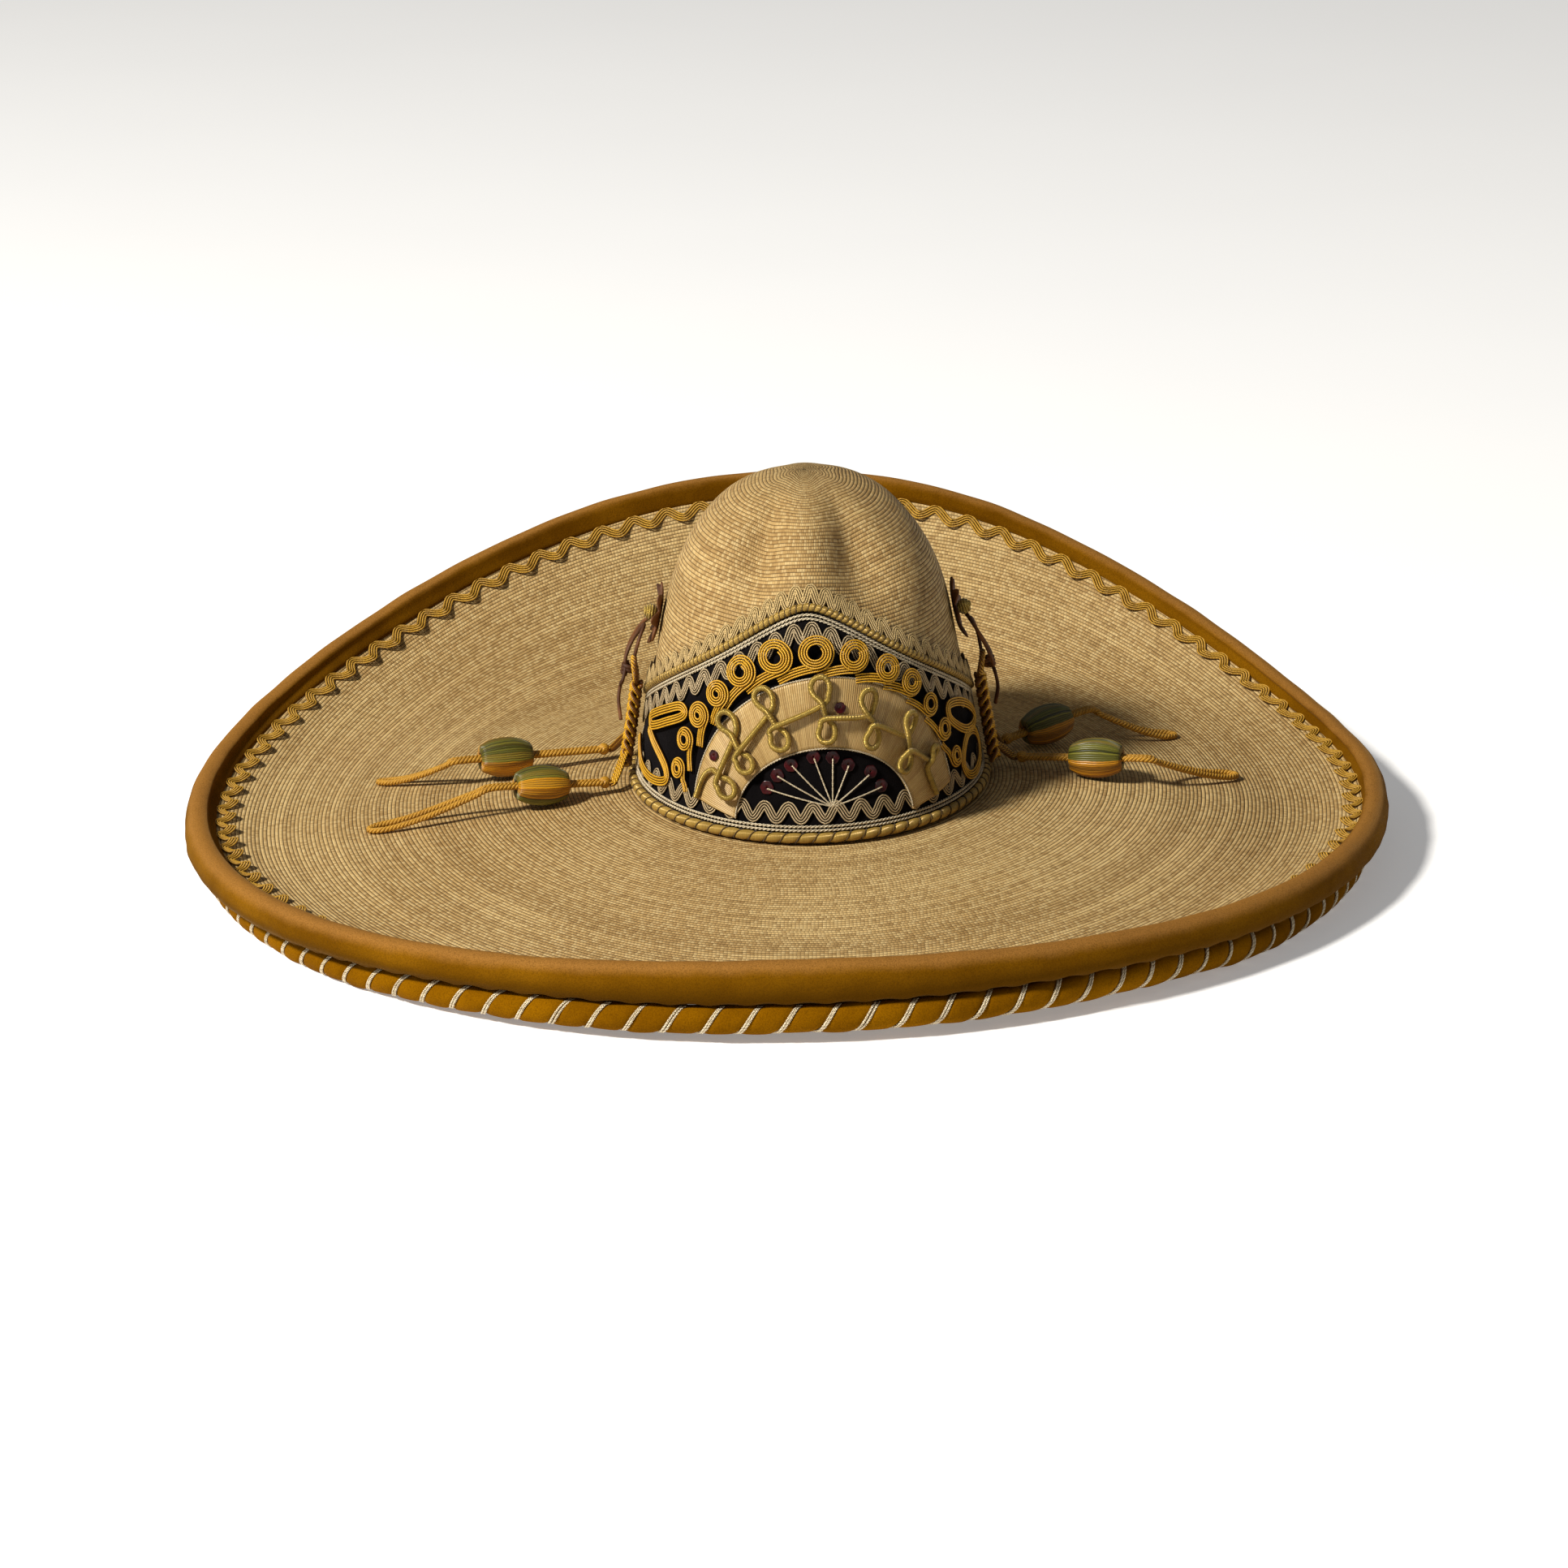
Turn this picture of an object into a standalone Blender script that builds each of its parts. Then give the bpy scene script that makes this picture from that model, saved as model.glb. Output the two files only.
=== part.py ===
"""Wide-brimmed charro sombrero, built the way the hat is put together.

Sewn palm-plait brim and crown, leather sweatband, wired velvet rim with an overcast roll,
velvet hatband with piping, ric-rac, soutache scrolls, an arched satin panel and a thread fan,
side knots with four bead pendants that swing and slide, and a laced leather flower on each side.
Metres, +Z up, front of the hat towards -Y. The hat stands on its brim at z = 0.
Angles round the hat (phi) start at the front and grow towards +X.
"""
import math

import bmesh
import bpy
from mathutils import Vector

# ---------------------------------------------------------------- sizes (metres, degrees)
N = 48                        # stations round the hat, shared by every ring
SHIFT_X = 0.0120              # the crown stands this far to the right of the brim's middle
CROWN_H = 0.156               # height of the crown above the brim joint
CROWN_Z = 0.0352              # height of the brim joint above the table
CROWN_T = 0.0020              # sewn plait thickness of the crown
CROWN_ROWS = [0.0, 0.014, 0.035, 0.055, 0.075, 0.092, 0.107, 0.120, 0.131, 0.141, 0.149, 0.1535]
DENT_D, DENT_H, DENT_SH, DENT_SP = 0.0125, 0.131, 0.020, 15.0
DENTS = [-27.0, 27.0, 153.0, 207.0]
BASE_X, BASE_Y = 0.0825, 0.1060          # head opening of the brim, semi-axes
RIM_X, RIM_Y, RIM_CX = 0.2922, 0.2804, -0.0120   # edge of the straw brim
BRIM_T = 0.0022               # brim thickness
EDGE_DROP = 0.0065            # the straw's edge lies this far under the top of the lip
BRIM_FALL, BRIM_FALL_FRONT = 0.0235, 0.0055   # how far the brim slopes down on its way out
S_ROWS = [0.0, 0.10, 0.25, 0.40, 0.54, 0.66, 0.76]
D_ROWS = [0.036, 0.0270, 0.0195, 0.0125, 0.0060, 0.0]     # distance in from the edge
GAP = 0.0003
STITCHES = 106
RIM_WAVES = 96
BAND_LOW = 0.0035             # lower edge of the velvet hatband above the joint
BAND_BACK = 0.044             # height of the hatband at the sides and back
BAND_PEAK = 0.109             # height of the hatband's point at the front
BAND_WAVES = 48
LEVEL_0 = 0.0016              # how far off the straw each layer of trimming lies
LEVEL_1 = 0.0024
LEVEL_ARCH = 0.0036
LEVEL_3 = 0.0047

# ---------------------------------------------------------------- small helpers
bpy_objects = list(bpy.data.objects)
for _o in bpy_objects:
    bpy.data.objects.remove(_o, do_unlink=True)


def material(name, colour, roughness=0.8, metallic=0.0):
    m = bpy.data.materials.new(name)
    m.use_nodes = True
    b = m.node_tree.nodes["Principled BSDF"]
    b.inputs["Base Color"].default_value = (*colour, 1.0)
    b.inputs["Roughness"].default_value = roughness
    b.inputs["Metallic"].default_value = metallic
    return m


MAT = {
    "palm_straw": material("palm_straw", (0.52, 0.38, 0.17), 0.78),
    "sweat_leather": material("sweat_leather", (0.20, 0.10, 0.045), 0.6),
    "rim_wire": material("rim_wire", (0.45, 0.44, 0.42), 0.35, 1.0),
    "rim_velvet": material("rim_velvet", (0.47, 0.23, 0.03), 0.9),
    "black_velvet": material("black_velvet", (0.012, 0.011, 0.012), 0.95),
    "gold_braid": material("gold_braid", (0.62, 0.37, 0.05), 0.5, 0.3),
    "pale_gold_braid": material("pale_gold_braid", (0.50, 0.40, 0.20), 0.5, 0.3),
    "silver_thread": material("silver_thread", (0.62, 0.58, 0.50), 0.4, 0.6),
    "cream_satin": material("cream_satin", (0.68, 0.53, 0.28), 0.4),
    "white_cord": material("white_cord", (0.70, 0.65, 0.54), 0.55),
    "olive_cord": material("olive_cord", (0.33, 0.26, 0.08), 0.45, 0.4),
    "yellow_cord": material("yellow_cord", (0.70, 0.42, 0.03), 0.55),
    "red_sequin": material("red_sequin", (0.25, 0.01, 0.02), 0.15, 0.2),
    "pendant_cord": material("pendant_cord", (0.42, 0.22, 0.05), 0.6),
    "bead_thread": material("bead_thread", (0.30, 0.32, 0.03), 0.6),
    "brown_leather": material("brown_leather", (0.10, 0.045, 0.02), 0.65),
}


def add_mesh(name, verts, faces, mat, origin=(0.0, 0.0, 0.0)):
    """One closed body; normals are made to face outward."""
    me = bpy.data.meshes.new(name)
    middle = Vector((SHIFT_X, 0.0, 0.0))
    o = Vector(origin) + middle if Vector(origin).length > 0.0 else Vector((0.0, 0.0, 0.0))
    me.from_pydata([tuple(Vector(v) + middle - o) for v in verts], [], faces)
    bm = bmesh.new()
    bm.from_mesh(me)
    bmesh.ops.recalc_face_normals(bm, faces=bm.faces[:])
    if bm.calc_volume(signed=True) < 0:
        bmesh.ops.reverse_faces(bm, faces=bm.faces[:])
    bm.to_mesh(me)
    bm.free()
    me.materials.append(MAT[mat])
    ob = bpy.data.objects.new(name, me)
    ob.location = o
    bpy.context.collection.objects.link(ob)
    return ob


def clamp(x, a=0.0, b=1.0):
    return max(a, min(b, x))


def smooth(x):
    x = clamp(x)
    return x * x * (3.0 - 2.0 * x)


# ---------------------------------------------------------------- crown surface
def crown_exact(phi, h):
    """Outer face of the crown: a tapering head oval that rounds over, with four pinched dents."""
    t = clamp(h / CROWN_H)
    dome = math.sqrt(max(0.0, 1.0 - t ** 4.1))
    ax = (0.0703 + 0.0152 * (1.0 - t) ** 2) * dome
    ay = (0.0860 + 0.0230 * (1.0 - t) ** 1.6) * dome
    x, y = ax * math.sin(phi), -ay * math.cos(phi)
    r = math.hypot(x, y)
    if r < 1e-9:
        return Vector((0.0, 0.0, CROWN_Z + h))
    deg = math.degrees(phi)
    d = 0.0
    for p0 in DENTS:
        dp = (deg - p0 + 180.0) % 360.0 - 180.0
        d += DENT_D * math.exp(-(dp / DENT_SP) ** 2 - ((h - DENT_H) / DENT_SH) ** 2)
    k = (r - d * min(1.0, r / 0.03)) / r
    return Vector((x * k, y * k, CROWN_Z + h))


def crown_normal(phi, h):
    e = 1e-4
    a = crown_exact(phi + 0.002, h) - crown_exact(phi - 0.002, h)
    b = crown_exact(phi, min(h + e, CROWN_H - 2e-4)) - crown_exact(phi, max(h - e, 0.0))
    n = a.cross(b)
    return n.normalized()


CG = [[crown_exact(2 * math.pi * i / N, h) for h in CROWN_ROWS] for i in range(N)]
CN = [[crown_normal(2 * math.pi * i / N, h) for h in CROWN_ROWS] for i in range(N)]


def crown_at(deg, h, w=0.0):
    """Point at height h and offset w out of the faceted crown, and the way out of it."""
    f = (deg / 360.0 * N) % N
    i = int(f) % N
    u = f - int(f)
    j = 0
    while j < len(CROWN_ROWS) - 2 and h > CROWN_ROWS[j + 1]:
        j += 1
    v = (h - CROWN_ROWS[j]) / (CROWN_ROWS[j + 1] - CROWN_ROWS[j])
    i2 = (i + 1) % N

    def mix(g):
        a = g[i][j].lerp(g[i2][j], u)
        b = g[i][j + 1].lerp(g[i2][j + 1], u)
        return a + (b - a) * v
    n = mix(CN).normalized()
    return mix(CG) + n * w, n


# ---------------------------------------------------------------- brim surface
def rim_top(phi):
    """Height of the top of the lip: flat sides, a little lift in front, a tall curl behind."""
    q = (1.0 - math.cos(phi)) / 2.0
    deg = math.degrees(phi) % 360.0
    warp = 0.0050 * math.exp(-((deg - 158.0) / 22.0) ** 2) - 0.0035 * math.exp(-((deg - 112.0) / 16.0) ** 2)
    tilt = math.sin(2.0 * phi) * (-0.0010 if 0.0 < deg < 90.0 else 0.0035)
    return 0.0292 + 0.009 * (1.0 - q) ** 6 + 0.087 * q ** 5 + tilt + warp


def brim_exact(phi, s):
    q = (1.0 - math.cos(phi)) / 2.0
    bx, by = BASE_X * math.sin(phi), -BASE_Y * math.cos(phi)
    ex, ey = RIM_CX + RIM_X * math.sin(phi), -RIM_Y * math.cos(phi)
    back = smooth((q - 0.4) / 0.6)
    front = max(0.0, math.cos(phi)) ** 2
    fall = BRIM_FALL + BRIM_FALL_FRONT * front
    s0 = 0.74 + 0.06 * front - 0.44 * back
    c = 0.62 + 0.26 * front + 0.10 * back
    z = CROWN_Z - 0.0003 - BRIM_T / 2.0 - 0.0001 - fall * s ** (1.6 - 0.45 * front)
    if s > s0:
        u = (s - s0) / (1.0 - s0)
        top = rim_top(phi) - EDGE_DROP - (CROWN_Z - 0.0003 - BRIM_T / 2.0 - 0.0001 - fall)
        z += top * (1.0 - math.sqrt(1.0 - (c * u) ** 2)) / (1.0 - math.sqrt(1.0 - c * c))
    return Vector((bx + (ex - bx) * s, by + (ey - by) * s, z))


def brim_normal(phi, s):
    a = brim_exact(phi + 0.002, s) - brim_exact(phi - 0.002, s)
    b = brim_exact(phi, min(s + 0.002, 1.0)) - brim_exact(phi, max(s - 0.002, 0.0))
    return a.cross(b).normalized() * (1.0 if a.cross(b).z > 0 else -1.0)


def brim_rows(phi):
    """The stations of one radius: fixed fractions of the brim, then fixed distances from the edge."""
    fine = [1.0 - 0.4 * k / 400.0 for k in range(401)]
    dist, last, out = [0.0], brim_exact(phi, 1.0), []
    for s in fine[1:]:
        p = brim_exact(phi, s)
        dist.append(dist[-1] + (p - last).length)
        last = p
    for d in D_ROWS:
        k = 0
        while k < 399 and dist[k + 1] < d:
            k += 1
        t = (d - dist[k]) / (dist[k + 1] - dist[k])
        out.append(fine[k] + (fine[k + 1] - fine[k]) * clamp(t))
    return S_ROWS + out


BR = [brim_rows(2 * math.pi * i / N) for i in range(N)]
BG = [[brim_exact(2 * math.pi * i / N, s) for s in BR[i]] for i in range(N)]
BN = [[brim_normal(2 * math.pi * i / N, s) for s in BR[i]] for i in range(N)]
NS = len(S_ROWS)


def rim_at(deg, d, b=0.0):
    """Point a distance d in from the brim's edge, b out of its upper face's side, and that way."""
    f = (deg / 360.0 * N) % N
    i = int(f) % N
    u = f - int(f)
    i2 = (i + 1) % N
    j = NS
    while j < NS + len(D_ROWS) - 2 and d < D_ROWS[j - NS + 1]:
        j += 1
    v = (D_ROWS[j - NS] - d) / (D_ROWS[j - NS] - D_ROWS[j - NS + 1])

    def mix(g):
        a = g[i][j].lerp(g[i2][j], u)
        c = g[i][j + 1].lerp(g[i2][j + 1], u)
        return a + (c - a) * v
    n = mix(BN).normalized()
    return mix(BG) + n * b, n


def lip_at(deg, o, z):
    """Point of the lip: o outward and z up from the straw's edge, level with the station chords."""
    f = (deg / 360.0 * N) % N
    i = int(f) % N
    u = f - int(f)

    def corner(k):
        phi = 2 * math.pi * k / N
        way = Vector((math.sin(phi) / RIM_X, -math.cos(phi) / RIM_Y, 0.0)).normalized()
        return BG[k][-1] + way * o + Vector((0.0, 0.0, z)), way
    a, na = corner(i)
    b, nb = corner((i + 1) % N)
    return a.lerp(b, u), na.lerp(nb, u).normalized()


def brim_top_z(x, y):
    """Height of the brim's upper face above a point of the table."""
    lo, hi = 0.0, 1.0
    for _ in range(50):
        s = (lo + hi) / 2.0
        a = BASE_X + (RIM_X - BASE_X) * s
        b = BASE_Y + (RIM_Y - BASE_Y) * s
        if ((x - RIM_CX * s) / a) ** 2 + (y / b) ** 2 > 1.0:
            lo = s
        else:
            hi = s
    a = BASE_X + (RIM_X - BASE_X) * s
    b = BASE_Y + (RIM_Y - BASE_Y) * s
    phi = math.atan2((x - RIM_CX * s) / a, -y / b)
    return brim_exact(phi, s).z + BRIM_T / 2.0 / max(0.4, brim_normal(phi, s).z)


# ---------------------------------------------------------------- builders of bodies
def shell(name, outer, inner, mat, outer_pole=None, inner_pole=None):
    """Two matching grids (station, row) joined at both ends, or closed over at a pole."""
    n, rows = len(outer), len(outer[0])
    verts = [p for col in outer for p in col] + [p for col in inner for p in col]
    off = n * rows
    faces = []
    for i in range(n):
        k = (i + 1) % n
        for j in range(rows - 1):
            a, b, c, d = i * rows + j, k * rows + j, k * rows + j + 1, i * rows + j + 1
            faces.append((a, b, c, d))
            faces.append((off + d, off + c, off + b, off + a))
        faces.append((off + i * rows, off + k * rows, k * rows, i * rows))
        e = rows - 1
        if outer_pole is None:
            faces.append((i * rows + e, k * rows + e, off + k * rows + e, off + i * rows + e))
        else:
            faces.append((i * rows + e, k * rows + e, 2 * off))
            faces.append((off + k * rows + e, off + i * rows + e, 2 * off + 1))
    if outer_pole is not None:
        verts += [outer_pole, inner_pole]
    return add_mesh(name, verts, faces, mat)


def ring_sweep(name, sections, mat):
    """Closed ring: one polygon of points per station, joined to the next."""
    n, m = len(sections), len(sections[0])
    verts = [p for s in sections for p in s]
    faces = []
    for i in range(n):
        k = (i + 1) % n
        for j in range(m):
            l = (j + 1) % m
            faces.append((i * m + j, k * m + j, k * m + l, i * m + l))
    return add_mesh(name, verts, faces, mat)


def open_sweep(name, sections, mat, origin=(0.0, 0.0, 0.0)):
    n, m = len(sections), len(sections[0])
    verts = [p for s in sections for p in s]
    faces = []
    for i in range(n - 1):
        for j in range(m):
            l = (j + 1) % m
            faces.append((i * m + j, (i + 1) * m + j, (i + 1) * m + l, i * m + l))
    faces.append(tuple(range(m)))
    faces.append(tuple((n - 1) * m + j for j in reversed(range(m))))
    return add_mesh(name, verts, faces, mat, origin)


def sections(points, profile, closed):
    """points: [(position, up)]; profile: [(side, up)] offsets, the same all along."""
    n = len(points)
    out = []
    for i in range(n):
        p, up = points[i]
        if closed:
            t = points[(i + 1) % n][0] - points[i - 1][0]
        else:
            t = points[min(i + 1, n - 1)][0] - points[max(i - 1, 0)][0]
        t.normalize()
        side = t.cross(up).normalized()
        up = side.cross(t).normalized()
        out.append([p + side * a + up * b for a, b in profile])
    return out


def tape(width, thick):
    return [(-width / 2, 0.0), (width / 2, 0.0), (width / 2, thick), (-width / 2, thick)]


def half_round(width, thick):
    return [(-width / 2, 0.0), (width / 2, 0.0), (0.0, thick)]


def round_profile(r, sides, start=0.0):
    return [(r * math.cos(start + 2 * math.pi * k / sides), r * math.sin(start + 2 * math.pi * k / sides))
            for k in range(sides)]


def on_crown(path, profile, name, mat, closed=False):
    """path: [(deg, h, w)] on the crown."""
    pts = [crown_at(d, h, w) for d, h, w in path]
    secs = sections(pts, profile, closed)
    return ring_sweep(name, secs, mat) if closed else open_sweep(name, secs, mat)


# ---------------------------------------------------------------- straw body
brim_top = [[BG[i][j] + BN[i][j] * (BRIM_T / 2) for j in range(len(BG[i]))] for i in range(N)]
brim_low = [[BG[i][j] - BN[i][j] * (BRIM_T / 2) for j in range(len(BG[i]))] for i in range(N)]
shell("brim", brim_top, brim_low, "palm_straw")

crown_in = [[CG[i][j] - CN[i][j] * CROWN_T for j in range(len(CROWN_ROWS))] for i in range(N)]
for i in range(N):
    crown_in[i][0] = Vector((crown_in[i][0].x, crown_in[i][0].y, CROWN_Z))
shell("crown_shell", CG, crown_in, "palm_straw",
      Vector((0, 0, CROWN_Z + CROWN_H)), Vector((0, 0, CROWN_Z + CROWN_H - CROWN_T)))

band_rows = [0.0008, 0.014, 0.035]
sw_out, sw_in = [], []
for i in range(N):
    deg = 360.0 * i / N
    o, c = [], []
    for h in band_rows:
        p, n = crown_at(deg, h, 0.0)
        flat = Vector((n.x, n.y, 0.0)).normalized()
        o.append(p - flat * (CROWN_T + 0.0006))
        c.append(p - flat * (CROWN_T + 0.0019))
    sw_out.append(o)
    sw_in.append(c)
shell("sweatband", sw_out, sw_in, "sweat_leather")

# ---------------------------------------------------------------- wired velvet rim
LOW_R = 0.0066


def low_centre(deg):
    """Middle of the overcast roll: under the lip in front, tucked further in under the sides and back."""
    off = abs((deg + 180.0) % 360.0 - 180.0)
    c, way = lip_at(deg, 0.0008 - 0.0085 * smooth((off - 10.0) / 55.0), -0.0202 + 0.0045 * smooth(off / 38.0))
    for _ in range(3):
        near = min(((c - rim_at(deg, 0.0015 * k, 0.0)[0]).length, k) for k in range(24))
        if near[0] > LOW_R + 0.0029:
            break
        q = rim_at(deg, 0.0015 * near[1], 0.0)[0]
        c = q + (c - q).normalized() * (LOW_R + 0.0030)
    stands = smooth((off - 38.0) / 14.0) * (1.0 - smooth((off - 98.0) / 12.0))
    c.z -= (c.z - LOW_R * 0.924 + 0.0004) * stands      # the two sides it stands on
    return c, way


LOW = [low_centre(360.0 * k / N) for k in range(N)]


def low_at(deg, radius, turn):
    f = (deg / 360.0 * N) % N
    i, u = int(f) % N, f - int(f)
    c = LOW[i][0].lerp(LOW[(i + 1) % N][0], u)
    way = LOW[i][1].lerp(LOW[(i + 1) % N][1], u).normalized()
    return c + way * (radius * math.cos(turn)) + Vector((0.0, 0.0, radius * math.sin(turn)))


wire, roll, low_roll, facing = [], [], [], []
ROLL = [(0.0004, 0.0018), (-0.0047, 0.0027), (-0.0042, 0.0050), (0.0, 0.0065), (0.0042, 0.0050), (0.0068, 0.0010),
        (0.0072, -0.0048), (0.0042, -0.0120), (0.0004, -0.0126), (0.0004, -0.0018), (0.0032, -0.0018),
        (0.0032, 0.0018)]
for i in range(N):
    deg = 360.0 * i / N
    squat = 1.0 - 0.34 * smooth(abs((deg + 180.0) % 360.0 - 180.0) / 38.0)
    wire.append([lip_at(deg, 0.0018 + a, c)[0] for a, c in ((0.0009, 0.0), (0.0, 0.0009), (-0.0009, 0.0), (0.0, -0.0009))])
    roll.append([lip_at(deg, a, c * squat if c < -0.002 else c)[0] for a, c in ROLL])
    ring = [low_at(deg, LOW_R, math.pi / 2 + math.pi / 8 - math.pi / 4 * k) for k in range(8)]
    for v in ring:
        v.z = max(v.z, 0.0)            # flattened where the hat stands on it
    low_roll.append(ring)
    facing.append([rim_at(deg, d, b)[0] for d, b in
                   ((0.0060, 0.0016), (0.0122, 0.0016), (0.0122, 0.0023), (0.0060, 0.0026))])
ring_sweep("rim_wire", wire, "rim_wire")
ring_sweep("rim_roll", roll, "rim_velvet")
ring_sweep("overcast_roll", low_roll, "rim_velvet")
ring_sweep("rim_facing", facing, "rim_velvet")

zig = []
for k in range(STITCHES):
    zig.append((low_at(360.0 * k / STITCHES, LOW_R + 0.0016, math.radians(25.0)), lip_at(360.0 * k / STITCHES, 0.0, 0.0)[1]))
    zig.append((low_at(360.0 * (k + 0.45) / STITCHES, LOW_R + 0.0016, math.radians(-25.0)), lip_at(360.0 * k / STITCHES, 0.0, 0.0)[1]))
ring_sweep("overcast_thread", sections(zig, round_profile(0.00045, 3, math.pi / 2), True), "silver_thread")

zig = []
for k in range(RIM_WAVES):
    zig.append(rim_at(360.0 * k / RIM_WAVES, 0.0205, 0.0015))
    zig.append(rim_at(360.0 * (k + 0.5) / RIM_WAVES, 0.0143, 0.0015))
ring_sweep("rim_ricrac", sections(zig, half_round(0.0030, 0.0011), True), "gold_braid")


# ---------------------------------------------------------------- hatband
def band_top(deg):
    a = abs((deg + 180.0) % 360.0 - 180.0)
    return max(BAND_BACK, BAND_PEAK - 0.00078 * (math.sqrt(a * a + 64.0) - 8.0))


def band_top_at(deg):
    """The hatband's top edge, straight between the stations."""
    f = (deg / 360.0 * N) % N
    i = int(f)
    u = f - i
    return band_top(360.0 * i / N) * (1 - u) + band_top(360.0 * (i + 1) / N) * u


v_out, v_in = [], []
for i in range(N):
    deg = 360.0 * i / N
    top = band_top(deg) - 0.0004
    inner = 0.0009 if min(deg, 360.0 - deg) < 29.0 else 0.0007
    v_out.append([crown_at(deg, BAND_LOW + (top - BAND_LOW) * k / 7.0, 0.0012)[0] for k in range(8)])
    v_in.append([crown_at(deg, BAND_LOW + (top - BAND_LOW) * k / 7.0, inner)[0] for k in range(8)])
shell("hatband_velvet", v_out, v_in, "black_velvet")


def ring_path(offset, w):
    return [(360.0 * i / N, band_top(360.0 * i / N) + offset, w) for i in range(N)]


on_crown(ring_path(0.0018, 0.0021), round_profile(0.0016, 5), "band_top_piping", "gold_braid", True)
on_crown([(360.0 * i / N, 0.0014, 0.0021) for i in range(N)], round_profile(0.0016, 5),
         "band_bottom_piping", "gold_braid", True)
on_crown(ring_path(-0.0036, LEVEL_1), tape(0.0034, 0.0009), "band_top_soutache", "white_cord", True)
on_crown([(360.0 * i / N, 0.0059, LEVEL_1) for i in range(N)], tape(0.0034, 0.0009),
         "band_bottom_soutache", "white_cord", True)


def waves(count, centre, amp, w):
    out = []
    for k in range(2 * count):
        deg = 360.0 * k / (2 * count)
        out.append((deg, centre(deg) + (amp if k % 2 else -amp), w))
    return out


on_crown(waves(BAND_WAVES, lambda d: band_top_at(d) + 0.0078, 0.0022, 0.0005),
         half_round(0.0022, 0.0009), "band_scallop_trim", "pale_gold_braid", True)
on_crown(waves(BAND_WAVES, lambda d: band_top_at(d) - 0.0098, 0.0026, LEVEL_1),
         half_round(0.0022, 0.0009), "band_top_ricrac", "silver_thread", True)
on_crown(waves(BAND_WAVES, lambda d: 0.0125, 0.0028, LEVEL_1),
         half_round(0.0022, 0.0009), "band_bottom_ricrac", "silver_thread", True)

# ---------------------------------------------------------------- arched satin panel
ARCH_OUT = (6.5, 0.0170, 45.5, 0.0600)        # centre degrees, centre height, half-width, height
ARCH_IN = (5.5, 0.0110, 29.5, 0.0330)


def arc(e, theta, k=1.0):
    return e[0] + k * e[2] * math.cos(theta), e[1] + k * e[3] * math.sin(theta)


M_A, R_A = 18, 3
top_v, low_v = [], []
for a in range(M_A + 1):
    th = math.pi * (1.0 - a / M_A)
    o, c = arc(ARCH_OUT, th), arc(ARCH_IN, th)
    for r in range(R_A + 1):
        d = c[0] + (o[0] - c[0]) * r / R_A
        h = c[1] + (o[1] - c[1]) * r / R_A
        top_v.append(crown_at(d, h, LEVEL_ARCH + 0.0007)[0])
        low_v.append(crown_at(d, h, LEVEL_ARCH)[0])
W = R_A + 1
off = len(top_v)
faces = []
for a in range(M_A):
    for r in range(R_A):
        q = [a * W + r, a * W + r + 1, (a + 1) * W + r + 1, (a + 1) * W + r]
        faces.append(tuple(q))
        faces.append(tuple(off + x for x in reversed(q)))
    for r in (0, R_A):
        faces.append((a * W + r, (a + 1) * W + r, off + (a + 1) * W + r, off + a * W + r))
for a in (0, M_A):
    for r in range(R_A):
        faces.append((a * W + r, a * W + r + 1, off + a * W + r + 1, off + a * W + r))
add_mesh("arch_panel", top_v + low_v, faces, "cream_satin")


# ---------------------------------------------------------------- looped cords on the hatband
def local(deg, h, de, df, dirx, diry):
    """Step de along and df across, in metres, from a place on the crown."""
    p0 = crown_at(deg - 1.0, h)[0]
    p1 = crown_at(deg + 1.0, h)[0]
    per_deg = (p1 - p0).length / 2.0
    ux = de * dirx - df * diry
    uy = de * diry + df * dirx
    return deg + ux / per_deg, h + uy


def looped(ellipse, thetas, shape, w0, lift, flips, shape2=None):
    path = []
    for th_deg, flip in zip(thetas, flips):
        th = math.radians(th_deg)
        deg, h = arc(ellipse, th)
        tx = math.sin(th) * ellipse[2] * 0.00165
        ty = -math.cos(th) * ellipse[3]
        k = math.hypot(tx, ty)
        for de, df, up in shape:
            d, hh = local(deg, h, de, df * flip, tx / k, ty / k)
            path.append((d, hh, w0 + lift * up))
    return path


CHAIN = (4.0, 0.0220, 51.5, 0.0660)
RING = [(-0.0046, -0.0060, 0.0), (0.0028, -0.0042, 0.0), (0.0047, 0.0002, 0.1), (0.0030, 0.0040, 0.3),
        (-0.0010, 0.0048, 0.5), (-0.0044, 0.0022, 0.8), (-0.0038, -0.0024, 1.0), (0.0004, -0.0060, 1.0)]
thetas = [180.0 - 15.0 * k for k in range(13)]
on_crown(looped(CHAIN, thetas, RING, LEVEL_3, 0.0024, [1] * 13), tape(0.0032, 0.0012),
         "scroll_braid", "yellow_cord")

MID = (4.5, 0.0150, 35.0, 0.0450)
DROP = [(-0.0026, 0.0, 0.0), (0.0028, 0.0058, 0.0), (0.0, 0.0094, 0.5), (-0.0028, 0.0058, 1.0), (0.0026, 0.0, 1.0)]
th2, fl2 = [], []
for k in range(6):
    th2 += [163.0 - 25.5 * k, 150.0 - 25.5 * k]
    fl2 += [-1, 1]
path = [(-31.5, 0.0185, 0.0055)] + looped(MID, th2, DROP, 0.0055, 0.0019, fl2) + [(43.5, 0.0190, 0.0055)]
on_crown(path, round_profile(0.0007, 4, math.pi / 4), "arch_gold_cord", "olive_cord")


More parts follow.
